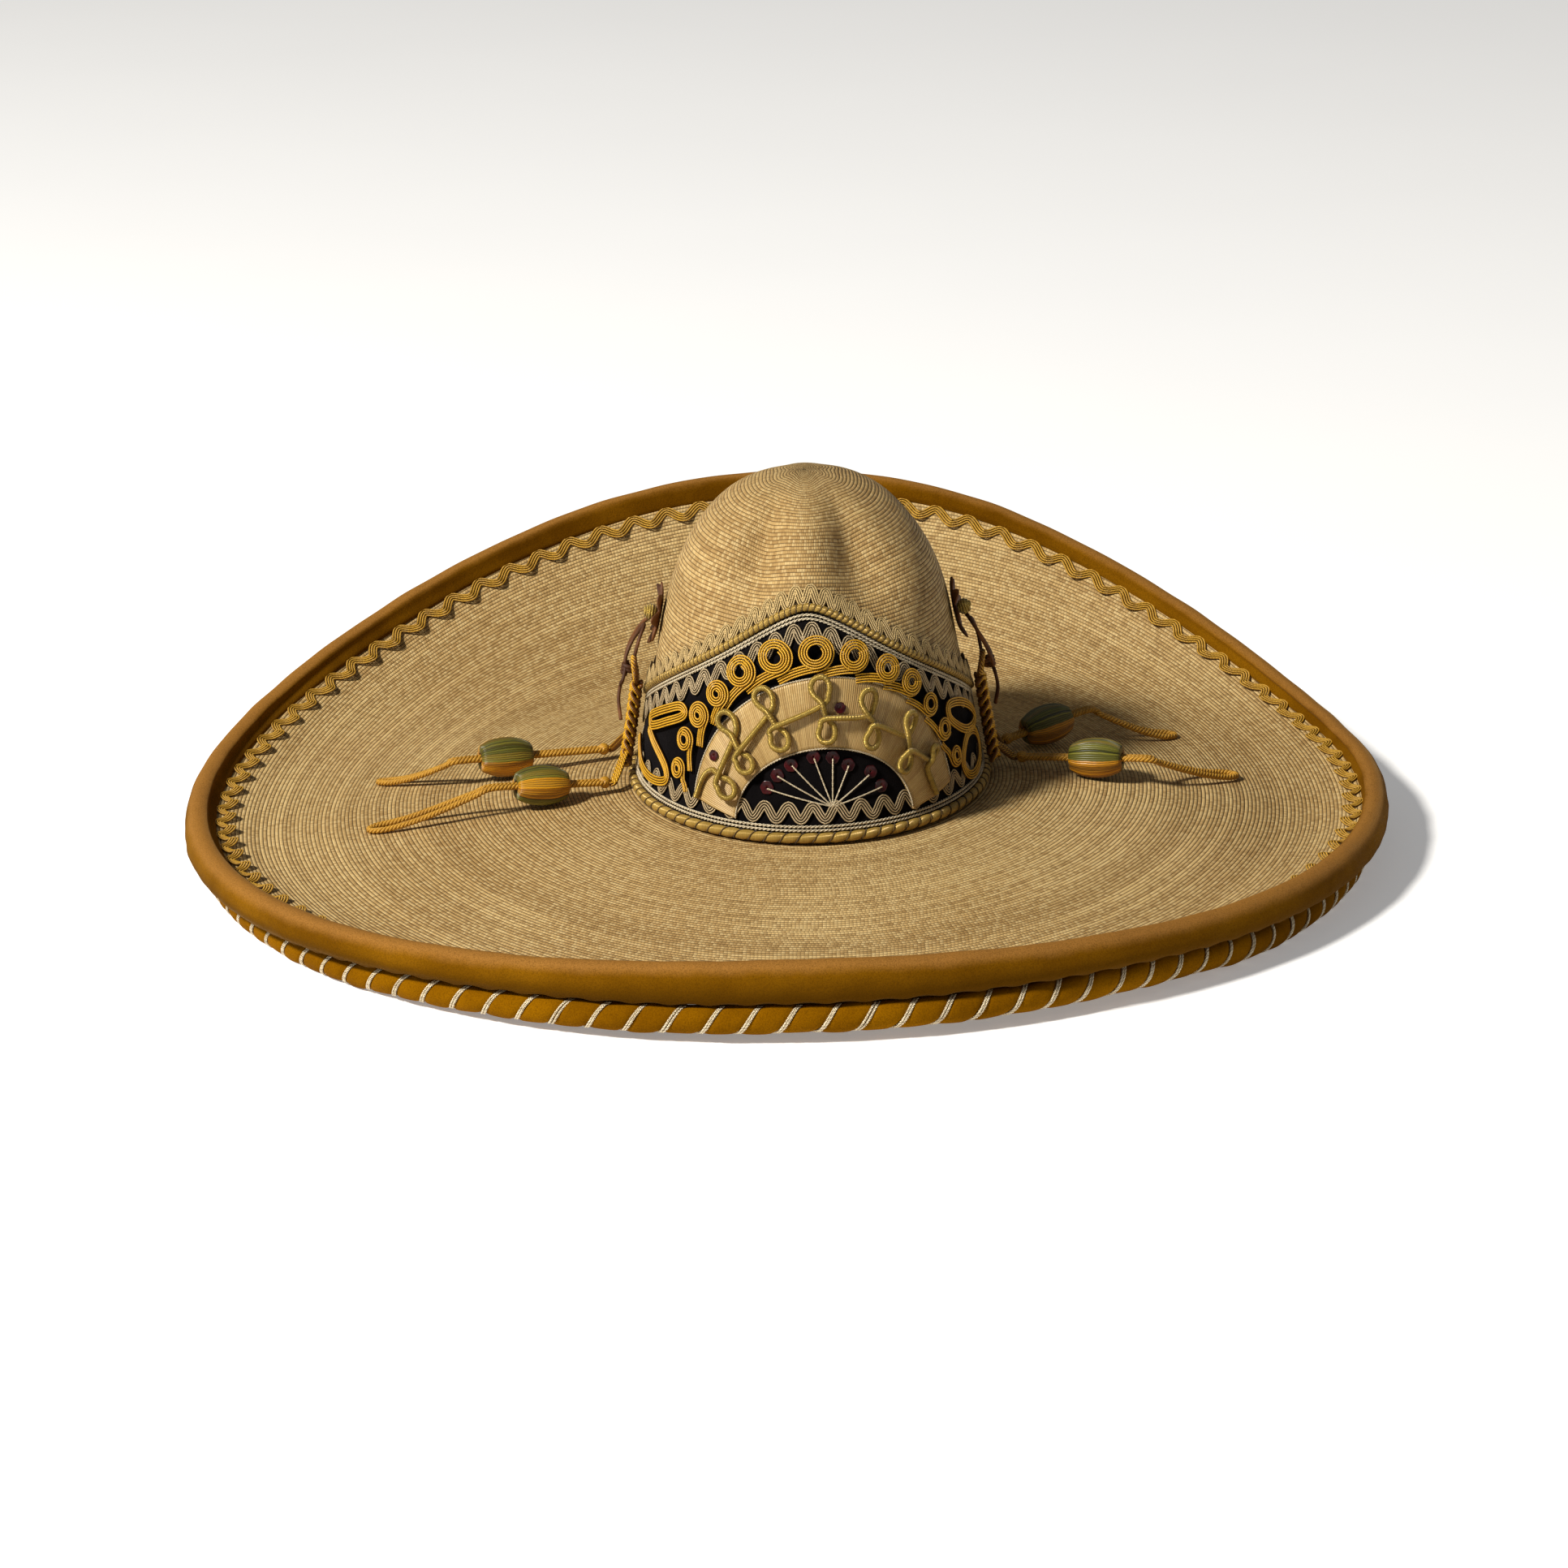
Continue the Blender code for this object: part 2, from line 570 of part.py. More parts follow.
def side_loop(name, pts, w):
    """A closed loop of flat braid through the given corner points."""
    out = []
    m = len(pts)
    for k in range(m):
        a, b, c = pts[k - 1], pts[k], pts[(k + 1) % m]
        out.append((b[0] + (a[0] - b[0]) * 0.3, b[1] + (a[1] - b[1]) * 0.3, w))
        out.append((b[0] + (c[0] - b[0]) * 0.3, b[1] + (c[1] - b[1]) * 0.3, w))
    return on_crown(out, tape(0.0030, 0.0012), name, "yellow_cord", True)


for tag, s, c in (("left", -1.0, -69.0), ("right", 1.0, 75.5)):
    side_loop("side_loop_%s_upper" % tag,
              [(c - s * 15.5, 0.0475), (c - s * 8.0, 0.0350), (c + s * 13.0, 0.0290), (c + s * 14.0, 0.0385),
               (c - s * 6.0, 0.0510)], LEVEL_3)
    side_loop("side_loop_%s_lower" % tag,
              [(c - s * 13.5, 0.0225), (c - s * 2.0, 0.0180), (c + s * 13.0, 0.0110), (c + s * 10.0, 0.0205),
               (c - s * 5.0, 0.0290)], LEVEL_3)

# ---------------------------------------------------------------- thread fan and sequins
HUB = (7.0, 0.0185)
FAN = (5.5, 0.0150, 21.0, 0.0250)
verts, faces = [], []


def fan_point(deg, h, w):
    verts.append(crown_at(deg, h, w)[0])
    return len(verts) - 1


metres_per_deg = (crown_at(HUB[0] + 1, HUB[1])[0] - crown_at(HUB[0] - 1, HUB[1])[0]).length / 2.0
rims = []
for k in range(8):
    d1, h1 = arc(FAN, math.radians(160.0 - 20.0 * k))
    ex, ey = (d1 - HUB[0]) * metres_per_deg, h1 - HUB[1]
    ln = math.hypot(ex, ey)
    ex, ey = ex / ln, ey / ln
    strip = []
    for r in (0.0030, 0.010, (0.010 + ln - 0.0042) / 2.0, ln - 0.0042):
        row = []
        for w in (LEVEL_0 + 0.0004, LEVEL_0):
            for sgn in (1.0, -1.0):
                row.append(fan_point(HUB[0] + (ex * r - sgn * ey * 0.0004) / metres_per_deg,
                                     HUB[1] + ey * r + sgn * ex * 0.0004, w))
        strip.append(row)          # left top, right top, left low, right low
    for a, b in zip(strip, strip[1:]):
        faces += [(a[0], a[1], b[1], b[0]), (a[2], b[2], b[3], a[3]),
                  (a[0], b[0], b[2], a[2]), (a[1], a[3], b[3], b[1])]
    e = strip[-1]
    faces.append((e[0], e[1], e[3], e[2]))
    rims.append(strip[0])
top_loop = [x for r in rims for x in (r[0], r[1])]
low_loop = [x for r in rims for x in (r[2], r[3])]
ct, cl = fan_point(HUB[0], HUB[1] - 0.0006, LEVEL_0 + 0.0004), fan_point(HUB[0], HUB[1] - 0.0006, LEVEL_0)
for k in range(len(top_loop) - 1):
    faces.append((ct, top_loop[k], top_loop[k + 1]))
    faces.append((cl, low_loop[k + 1], low_loop[k]))
    if k % 2 == 1:
        faces.append((top_loop[k], low_loop[k], low_loop[k + 1], top_loop[k + 1]))
faces.append((ct, top_loop[0], low_loop[0], cl))
faces.append((ct, cl, low_loop[-1], top_loop[-1]))
add_mesh("fan_spokes", verts, faces, "silver_thread")


def sequin(name, deg, h, w):
    c, n = crown_at(deg, h, w)
    a = Vector((0, 0, 1)).cross(n).normalized()
    b = n.cross(a)
    low = [c + a * (0.0033 * math.cos(k * math.pi / 4)) + b * (0.0033 * math.sin(k * math.pi / 4)) for k in range(8)]
    secs = [low, [p + n * 0.0004 for p in low]]
    open_sweep(name, secs, "red_sequin")


for k in range(8):
    d1, h1 = arc(FAN, math.radians(160.0 - 20.0 * k))
    sequin("fan_sequin_%d" % (k + 1), d1, h1, LEVEL_0)
sequin("arch_sequin_left", -34.0, 0.0330, LEVEL_3)
sequin("arch_sequin_right", 11.0, 0.0640, LEVEL_3)


# ---------------------------------------------------------------- side knots
def knot(name, deg):
    pts, rad = [], []
    for k in range(9):
        h = 0.0415 - 0.0041 * k
        pts.append(crown_at(deg + 1.6 * math.sin(k * 1.3), h, 0.0096))
        rad.append(0.0024 if k in (0, 8) else (0.0044 if k % 2 else 0.0036))
    secs = []
    for (p, up), r in zip(pts, rad):
        side = Vector((0, 0, 1)).cross(up).normalized()
        secs.append([p + side * a + up * b for a, b in round_profile(r, 7)])
    open_sweep(name, secs, "yellow_cord")


knot("side_knot_left", -92.0)
knot("side_knot_right", 92.0)

# ---------------------------------------------------------------- bead pendants
CORD_R = 0.0011
BORE_R = 0.0029
BEAD_R, BEAD_L = 0.0100, 0.0265
PENDANTS = [          # name, hinge point x y, bead centre x y, loop end x y
    ("left_back", (-0.1040, 0.0275), (-0.1526, 0.0112), (-0.2164, 0.0254)),
    ("left_front", (-0.1015, -0.0270), (-0.1322, -0.0390), (-0.2150, -0.0473)),
    ("right_back", (0.1000, 0.0330), (0.1206, 0.0448), (0.1863, 0.0791)),
    ("right_front", (0.1062, 0.0034), (0.1427, -0.0077), (0.2123, 0.0175)),
]


def frame_of(direction):
    """side (level) and up, square to a direction."""
    side = Vector((0, 0, 1)).cross(direction).normalized()
    return side, direction.cross(side).normalized()


def pendant_line(spec):
    name, s, b, e = spec
    S = Vector((s[0], s[1], brim_top_z(*s) + 0.0062))
    B = Vector((b[0], b[1], brim_top_z(*b) + BEAD_R + 0.0012))
    u = (B - S).normalized()
    return S, B, u, Vector((e[0], e[1], brim_top_z(*e) + 0.0018))


def pendant_path(spec):
    """Centre line of the doubled cord: straight through the bead, then down onto the brim."""
    S, B, u, E = pendant_line(spec)
    Q = B + u * (BEAD_L / 2 + 0.012)
    pts = [S, B, Q]
    for k in range(1, 7):
        t = k / 6.0
        flat = Vector((Q.x + (E.x - Q.x) * t, Q.y + (E.y - Q.y) * t, 0.0))
        ground = brim_top_z(flat.x, flat.y) + 0.0018
        drop = Q.z + u.z * (flat - Vector((Q.x, Q.y, 0))).length - ground
        pts.append(Vector((flat.x, flat.y, ground + max(0.0, drop) * (1 - t) ** 2)))
    return pts, u


for spec in PENDANTS:
    pts, u = pendant_path(spec)
    S, B, _, E = pendant_line(spec)
    side0, _up = frame_of(u)
    n = len(pts)
    left, right = [], []
    for k, p in enumerate(pts):
        t = (pts[min(k + 1, n - 1)] - pts[max(k - 1, 0)]).normalized()
        side, up = frame_of(t)
        g = 0.0014 if k <= 2 else 0.0014 + 0.0022 * math.sin(math.pi * min(1.0, (k - 2) / 4.0) / 2)
        if k <= 2:
            side = side0
        left.append((p + side * g, up))
        right.append((p - side * g, up))
    t = (pts[-1] - pts[-2]).normalized()
    side, up = frame_of(t)
    turn = [(pts[-1] + t * 0.0027 + side * 0.0025, up), (pts[-1] + t * 0.0038, up),
            (pts[-1] + t * 0.0027 - side * 0.0025, up)]
    line = left + turn + right[::-1]
    hinge = S
    secs = sections(line, round_profile(CORD_R, 4, math.pi / 4), False)
    open_sweep("pendant_cord_" + spec[0], secs, "pendant_cord", hinge)
    # bead: a barrel with a bore right through, which the doubled cord runs in
    side, up = side0, u.cross(side0).normalized()
    up = up if up.z > 0 else -up
    prof = [(-BEAD_L / 2, BORE_R), (-BEAD_L / 2, 0.0068), (-BEAD_L / 4, 0.0094), (0.0, BEAD_R),
            (BEAD_L / 4, 0.0094), (BEAD_L / 2, 0.0068), (BEAD_L / 2, BORE_R)]
    rows = []
    for a in range(10):
        ang = 2 * math.pi * a / 10
        d = side * math.cos(ang) + up * math.sin(ang)
        rows.append([B + u * x + d * r for x, r in prof])
    vs = [p for r in rows for p in r]
    m = len(prof)
    fs = []
    for a in range(10):
        k = (a + 1) % 10
        for j in range(m):
            l = (j + 1) % m
            fs.append((a * m + j, k * m + j, k * m + l, a * m + l))
    add_mesh("bead_" + spec[0], vs, fs, "bead_thread", B)

# ---------------------------------------------------------------- leather flowers and laces
for tag, s in (("left", -1.0), ("right", 1.0)):
    deg = 91.0 * s
    c, n = crown_at(deg, 0.0830, 0.0004)
    a = Vector((0, 0, 1)).cross(n).normalized()
    b = n.cross(a)
    low = []
    for k in range(16):
        r = 0.0165 if k % 2 == 0 else 0.0115
        low.append((k * math.pi / 8, r))
    lo = [c + a * (r * math.cos(t)) + b * (r * math.sin(t)) + n * (0.0012 if r > 0.012 else 0.0006) for t, r in low]
    secs = [lo, [p + n * 0.0016 for p in lo]]
    open_sweep("leather_flower_" + tag, secs, "brown_leather")
    p, n2 = crown_at(deg, 0.0830, 0.0072)
    a2 = Vector((0, 0, 1)).cross(n2).normalized()
    b2 = n2.cross(a2)
    secs = []
    for z, r in ((-0.0040, 0.0022), (-0.0020, 0.0040), (0.0, 0.0046), (0.0020, 0.0040), (0.0040, 0.0022)):
        secs.append([p + n2 * z * 0.8 + a2 * x + b2 * y for x, y in round_profile(r, 8)])
    open_sweep("lace_bead_" + tag, secs, "olive_cord")
    lace = [(deg - 1.5, 0.0765, 0.0062), (deg - 5.0, 0.0700, 0.0075), (deg - 6.5, 0.0620, 0.0070),
            (deg - 3.0, 0.0560, 0.0075), (deg + 1.0, 0.0545, 0.0080), (deg + 3.5, 0.0590, 0.0085),
            (deg + 6.0, 0.0660, 0.0082), (deg + 8.0, 0.0600, 0.0082), (deg + 7.0, 0.0520, 0.0088),
            (deg + 6.5, 0.0440, 0.0105), (deg + 6.0, 0.0350, 0.0100), (deg + 6.5, 0.0260, 0.0090)]
    on_crown(lace, round_profile(0.0009, 5), "leather_lace_" + tag, "brown_leather")
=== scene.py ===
import bpy
import math
import numpy as np
from mathutils import Matrix, Vector


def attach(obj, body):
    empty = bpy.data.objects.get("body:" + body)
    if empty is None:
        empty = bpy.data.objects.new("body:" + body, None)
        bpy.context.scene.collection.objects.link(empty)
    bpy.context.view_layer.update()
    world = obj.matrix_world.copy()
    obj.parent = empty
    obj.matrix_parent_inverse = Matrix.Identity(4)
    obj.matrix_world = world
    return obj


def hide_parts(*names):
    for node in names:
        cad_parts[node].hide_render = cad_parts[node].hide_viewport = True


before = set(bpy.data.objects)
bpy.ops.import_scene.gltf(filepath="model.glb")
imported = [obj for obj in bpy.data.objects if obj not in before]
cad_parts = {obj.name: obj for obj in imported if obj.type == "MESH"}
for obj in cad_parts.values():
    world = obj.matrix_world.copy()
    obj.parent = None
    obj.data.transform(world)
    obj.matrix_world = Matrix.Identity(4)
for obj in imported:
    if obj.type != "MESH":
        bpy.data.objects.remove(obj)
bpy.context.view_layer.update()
PI = math.pi
CX = 0.0120                      # crown axis
CZ = 0.0352                      # brim joint
CH = 0.156                       # crown height
PITCH = 0.00195                  # one ring of plait


# ================================================================ camera first
def camera():
    az, el = 0.0, math.radians(18.5)
    dist = 2.4
    target = Vector((CX, 0.0, 0.0142))
    right = Vector((1, 0, 0))
    back = Vector((0, -math.cos(el), math.sin(el)))
    up = back.cross(right)
    r = math.radians(1.0)
    x = right * math.cos(r) - up * math.sin(r)
    y = right * math.sin(r) + up * math.cos(r)
    cam = bpy.data.cameras.new("camera")
    ob = bpy.data.objects.new("camera", cam)
    bpy.context.collection.objects.link(ob)
    m = Matrix((x, y, back)).transposed().to_4x4()
    m.translation = target + back * dist
    ob.matrix_world = m
    cam.sensor_width = 36.0
    cam.lens = 5896.8 / 1932.0 * 36.0
    cam.shift_x = -(999.0 - 966.0) / 1932.0
    cam.shift_y = (1000.0 - 966.0) / 1932.0
    cam.clip_start, cam.clip_end = 0.05, 100.0
    bpy.context.scene.camera = ob


camera()


# ================================================================ surfaces
def sm(x):
    x = np.clip(x, 0.0, 1.0)
    return x * x * (3.0 - 2.0 * x)


def crown_xyz(phi, h):
    phi, h = np.broadcast_arrays(np.asarray(phi, float), np.asarray(h, float))
    t = np.clip(h / CH, 0.0, 1.0)
    dome = np.sqrt(np.maximum(0.0, 1.0 - t ** 4.5))
    ax = (0.0703 + 0.0152 * (1.0 - t) ** 2) * dome
    ay = (0.0860 + 0.0230 * (1.0 - t) ** 1.6) * dome
    x, y = ax * np.sin(phi), -ay * np.cos(phi)
    r = np.maximum(np.hypot(x, y), 1e-9)
    deg = np.degrees(phi)
    d = np.zeros_like(r)
    for p0 in (-28.5, 28.5, 151.5, 208.5):
        dp = (deg - p0 + 180.0) % 360.0 - 180.0
        d = d + 0.0155 * np.exp(-(dp / 16.5) ** 2 - ((h - 0.125) / 0.0235) ** 2)
    k = (r - d * np.minimum(1.0, (r / 0.04) ** 2)) / r
    return np.stack([x * k + CX, y * k, CZ + h], -1)


def unit(v):
    return v / np.maximum(np.linalg.norm(v, axis=-1, keepdims=True), 1e-12)


def crown_n(phi, h):
    h = np.asarray(h, float)
    a = crown_xyz(np.asarray(phi) + 0.002, h) - crown_xyz(np.asarray(phi) - 0.002, h)
    b = crown_xyz(phi, np.minimum(h + 2e-4, CH - 1e-4)) - crown_xyz(phi, np.maximum(h - 2e-4, 0.0))
    return unit(np.cross(a, b))


def on_crown(deg, h, w=0.0):
    """Points on the crown's outside at w off it, and the way out."""
    phi = np.radians(np.asarray(deg, float))
    n = crown_n(phi, h)
    return crown_xyz(phi, h) + n * np.asarray(w, float)[..., None], n


BX, BY, RX, RY, RCX, BT, DROP = 0.0825, 0.1060, 0.2922, 0.2804, -0.0120, 0.0022, 0.0065


def rim_z(phi):
    phi = np.asarray(phi, float)
    q = (1.0 - np.cos(phi)) / 2.0
    deg = np.degrees(phi) % 360.0
    warp = 0.0050 * np.exp(-((deg - 158.0) / 22.0) ** 2) - 0.0035 * np.exp(-((deg - 112.0) / 16.0) ** 2)
    tilt = np.sin(2.0 * phi) * np.where((deg > 0.0) & (deg < 90.0), -0.0010, 0.0035)
    return 0.0292 + 0.009 * (1.0 - q) ** 6 + 0.087 * q ** 5 + tilt + warp


def brim_xyz(phi, s):
    phi, s = np.broadcast_arrays(np.asarray(phi, float), np.asarray(s, float))
    q = (1.0 - np.cos(phi)) / 2.0
    bx, by = BX * np.sin(phi), -BY * np.cos(phi)
    ex, ey = RCX + RX * np.sin(phi), -RY * np.cos(phi)
    back = sm((q - 0.4) / 0.6)
    front = np.maximum(0.0, np.cos(phi)) ** 2
    fall = FALL + FALL_F * front
    s0 = 0.74 + 0.06 * front - 0.44 * back
    c = 0.62 + 0.26 * front + 0.10 * back
    z0 = CZ - 0.0003 - BT / 2.0 - 0.0001
    z = z0 - fall * s ** (1.6 - 0.45 * front)
    u = np.clip((s - s0) / (1.0 - s0), 0.0, 1.0)
    top = rim_z(phi) - DROP - (z0 - fall)
    z = z + top * (1.0 - np.sqrt(1.0 - (c * u) ** 2)) / (1.0 - np.sqrt(1.0 - c * c))
    return np.stack([bx + (ex - bx) * s + CX, by + (ey - by) * s, z], -1)


def brim_n(phi, s):
    s = np.asarray(s, float)
    a = brim_xyz(np.asarray(phi) + 0.002, s) - brim_xyz(np.asarray(phi) - 0.002, s)
    b = brim_xyz(phi, np.minimum(s + 0.002, 1.0)) - brim_xyz(phi, np.maximum(s - 0.002, 0.0))
    n = unit(np.cross(a, b))
    return n * np.where(n[..., 2:3] < 0, -1.0, 1.0)


FALL, FALL_F = 0.0235, 0.0055

# distance along the brim, from the crown out and from the edge in
NB = 721
PHIS = np.linspace(0.0, 2.0 * PI, NB)
SS = np.linspace(0.0, 1.0, 161)
GRID = brim_xyz(PHIS[:, None], SS[None, :])
RHO = np.concatenate([np.zeros((NB, 1)), np.cumsum(np.linalg.norm(np.diff(GRID, axis=1), axis=2), axis=1)], 1)


def rim_in(deg, d, b=0.0):
    """Points a distance d in from the straw's edge and b off its upper face."""
    deg, d, b = np.broadcast_arrays(np.asarray(deg, float), np.asarray(d, float), np.asarray(b, float))
    out, nn = np.zeros(deg.shape + (3,)), np.zeros(deg.shape + (3,))
    flat = zip(np.ravel(deg), np.ravel(d))
    s = np.zeros(deg.size)
    for k, (a, dd) in enumerate(flat):
        row = RHO[int(round((a % 360.0) / 360.0 * (NB - 1)))]
        s[k] = np.interp(row[-1] - dd, row, SS)
    s = s.reshape(deg.shape)
    n = brim_n(np.radians(deg), s)
    return brim_xyz(np.radians(deg), s) + n * b[..., None], n


def way_out(phi):
    w = np.stack([np.sin(phi) / RX, -np.cos(phi) / RY, np.zeros_like(phi)], -1)
    return unit(w)


def lip(deg, o, z):
    phi = np.radians(np.asarray(deg, float))
    w = way_out(phi)
    p = brim_xyz(phi, np.ones_like(phi)) + w * np.asarray(o, float)[..., None]
    p[..., 2] += z
    return p


LOW_R = 0.0066
LD = np.arange(0.0, 360.0, 1.0)


def low_centres():
    off = np.abs((LD + 180.0) % 360.0 - 180.0)
    c = lip(LD, 0.0008 - 0.0085 * sm((off - 10.0) / 55.0), -0.0202 + 0.0045 * sm(off / 38.0))
    near = np.stack([rim_in(LD, np.full(LD.shape, 0.001 * k))[0] for k in range(36)], 1)
    for _ in range(3):
        d = np.linalg.norm(near - c[:, None], axis=2)
        k = np.argmin(d, 1)
        q = near[np.arange(len(LD)), k]
        push = np.maximum(0.0, LOW_R + 0.0016 - d.min(1))
        c = c + unit(c - q) * push[:, None]
    stands = sm((off - 38.0) / 14.0) * (1.0 - sm((off - 98.0) / 12.0))
    c[:, 2] -= (c[:, 2] - LOW_R * 0.924 + 0.0001) * stands
    k = np.array([1, 2, 3, 4, 3, 2, 1], float)
    k /= k.sum()
    pad = np.concatenate([c[-3:], c, c[:3]])
    return np.stack([np.convolve(pad[:, j], k, "valid") for j in range(3)], 1)


LOWC = low_centres()


def low_at(deg, radius, turn):
    deg = np.asarray(deg, float) % 360.0
    c = np.stack([np.interp(deg, np.append(LD, 360.0), np.append(LOWC[:, j], LOWC[0, j])) for j in range(3)], -1)
    w = way_out(np.radians(deg))
    p = c + w * (radius * np.cos(turn))[..., None]
    p[..., 2] += radius * np.sin(turn)
    return p


def brim_height(x, y):
    """Height of the upper face of the straw over a place (x, y)."""
    lo, hi = 0.0, 1.0
    x = x - CX
    for _ in range(40):
        s = (lo + hi) / 2.0
        a, b = BX + (RX - BX) * s, BY + (RY - BY) * s
        if ((x - RCX * s) / a) ** 2 + (y / b) ** 2 > 1.0:
            lo = s
        else:
            hi = s
    phi = math.atan2((x - RCX * s) / a, -y / b)
    n = brim_n(phi, s)
    return float(brim_xyz(phi, s)[2]) + BT / 2.0 / max(0.4, float(n[2]))


# ================================================================ mesh building
class Geo:
    """Collects swept bodies with their texture coordinates: millimetres along, turns round."""

    def __init__(self):
        self.v, self.q, self.uv, self.caps, self.n = [], [], [], [], 0

    def grid(self, pts, closed, uu=None, vv=None, cap=True, uv=None):
        """pts (n, m, 3): n sections of m points, each section a closed loop."""
        n, m = pts.shape[:2]
        rows = n if closed else n - 1
        i, j = np.meshgrid(np.arange(rows), np.arange(m), indexing="ij")
        i2, j2 = (i + 1) % n, (j + 1) % m
        q = np.stack([i * m + j, i2 * m + j, i2 * m + j2, i * m + j2], -1).reshape(-1, 4)
        if uv is None:
            if uu is None:
                mid = pts.mean(1)
                step = np.linalg.norm(np.roll(mid, -1, 0) - mid, axis=1)
                uu = np.concatenate([[0.0], np.cumsum(step)]) * 1000.0
            if vv is None:
                vv = np.arange(m + 1) / m
            uv = np.stack(np.meshgrid(uu[:rows + 1], vv, indexing="ij"), -1)
        fu = np.stack([uv[i, j], uv[i + 1, j], uv[i + 1, j + 1], uv[i, j + 1]], 2).reshape(-1, 4, 2)
        a, b, c, d = (pts.reshape(-1, 3)[q[:, k]] for k in range(4))
        o = pts.reshape(-1, 3).mean(0)
        vol = np.einsum("ij,ij->i", a - o, np.cross(b - o, c - o)).sum() + np.einsum("ij,ij->i", a - o, np.cross(c - o, d - o)).sum()
        flip = vol < 0
        if flip:
            q, fu = q[:, ::-1], fu[:, ::-1]
        self.v.append(pts.reshape(-1, 3))
        self.q.append(q + self.n)
        self.uv.append(fu)
        if not closed and cap:
            e0, e1 = list(range(m)), [(n - 1) * m + k for k in range(m)]
            e0 = e0[::-1] if not flip else e0
            e1 = e1 if not flip else e1[::-1]
            e0, e1 = e0[::-1], e1[::-1]
            self.caps += [[self.n + k for k in e0], [self.n + k for k in e1]]
        self.n += n * m

    def tube(self, p, up, r, sides=6, closed=False, flat=1.0, start=0.0):
        """A round (or flattened) cord on the points p."""
        t = np.roll(p, -1, 0) - np.roll(p, 1, 0) if closed else np.gradient(p, axis=0)
        t = unit(t)
        side = unit(np.cross(t, up))
        v = np.cross(side, t)
        a = start + 2 * PI * np.arange(sides) / sides
        r = np.broadcast_to(np.asarray(r, float), (len(p),)) if np.ndim(r) < 2 else r
        rr = r[:, None] if np.ndim(r) == 1 else r
        pts = p[:, None] + side[:, None] * (rr * np.cos(a))[..., None] + v[:, None] * (rr * flat * np.sin(a))[..., None]
        self.grid(pts, closed)

    def strands(self, p, up, count, gap, r, sides=5, closed=False, flat=1.0, arch=0.0):
        """Parallel cords side by side, like a flat braid."""
        t = np.roll(p, -1, 0) - np.roll(p, 1, 0) if closed else np.gradient(p, axis=0)
        side = unit(np.cross(unit(t), up))
        for k in range(count):
            o = (k - (count - 1) / 2.0)
            lift = arch * (1.0 - (2.0 * o / max(1, count - 1)) ** 2) if count > 1 else 0.0
            self.tube(p + side * (o * gap) + up * lift, up, r, sides, closed, flat)

    def rope(self, p, up, radius, plies, pitch, sides=6, closed=False, turn=0.0):
        """Plies twisted round each other; p is evenly spaced."""
        t = np.roll(p, -1, 0) - np.roll(p, 1, 0) if closed else np.gradient(p, axis=0)
        t = unit(t)
        side = unit(np.cross(t, up))
        v = np.cross(side, t)
        s = np.concatenate([[0.0], np.cumsum(np.linalg.norm(np.diff(p, axis=0), axis=1))])
        total = s[-1] + (np.linalg.norm(p[0] - p[-1]) if closed else 0.0)
        if closed:
            pitch = total / max(1, round(total / pitch))
        a = 2 * PI * s / pitch + turn
        off = radius * (0.5 if plies == 2 else 0.54)
        for k in range(plies):
            b = a + 2 * PI * k / plies
            q = p + side * (off * np.cos(b))[:, None] + v * (off * np.sin(b))[:, None]
            self.tube(q, up, radius - off, sides, closed)

    def make(self, name, mat, body, slot, *nodes, smooth=True):
        v = np.concatenate(self.v)
        q = np.concatenate(self.q)
        uv = np.concatenate(self.uv).reshape(-1, 2)
        me = bpy.data.meshes.new(name)
        me.from_pydata(v.tolist(), [], q.tolist() + self.caps)
        layer = me.uv_layers.new(name="UVMap")
        full = np.zeros((len(me.loops), 2), np.float32)
        full[:len(uv)] = uv
        layer.data.foreach_set("uv", full.ravel())
        me.materials.append(mat)
        if smooth:
            me.polygons.foreach_set("use_smooth", [True] * len(me.polygons))
        me.update()
        ob = bpy.data.objects.new(name, me)
        bpy.context.collection.objects.link(ob)
        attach(ob, body)
        if nodes:
            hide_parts(*nodes)
        return ob


def catmull(a, closed=False, per=10):
    """A smooth line through the rows of a."""
    a = np.asarray(a, float)
    n = len(a)
    if closed:
        idx = np.arange(n)
        p0, p1, p2, p3 = a[(idx - 1) % n], a[idx], a[(idx + 1) % n], a[(idx + 2) % n]
    else:
        ext = np.concatenate([[2 * a[0] - a[1]], a, [2 * a[-1] - a[-2]]])
        p0, p1, p2, p3 = ext[:-3], ext[1:-2], ext[2:-1], ext[3:]
    t = (np.arange(per) / per)[None, :, None]
    p0, p1, p2, p3 = (x[:, None] for x in (p0, p1, p2, p3))
    out = 0.5 * (2 * p1 + (p2 - p0) * t + (2 * p0 - 5 * p1 + 4 * p2 - p3) * t ** 2 + (3 * p1 - p0 - 3 * p2 + p3) * t ** 3)
    out = out.reshape(-1, a.shape[1])
    return out if closed else np.concatenate([out, a[-1:]])


def even(p, up, step, closed=False):
    """The same line with points a step apart."""
    q = np.concatenate([p, p[:1]]) if closed else p
    u = np.concatenate([up, up[:1]]) if closed else up
    s = np.concatenate([[0.0], np.cumsum(np.linalg.norm(np.diff(q, axis=0), axis=1))])
    n = max(3, int(round(s[-1] / step)))
    x = np.linspace(0.0, s[-1], n + 1)
    if closed:
        x = x[:-1]
    f = lambda z: np.stack([np.interp(x, s, z[:, j]) for j in range(z.shape[1])], 1)
    return f(q), unit(f(u))


def crown_line(rows, closed=False, step=0.0006, per=10):
    """rows of (degrees, height, off) to evenly spaced points and the way out."""
    a = catmull(rows, closed, per)
    p, n = on_crown(a[:, 0], a[:, 1], a[:, 2])
    return even(p, n, step, closed)


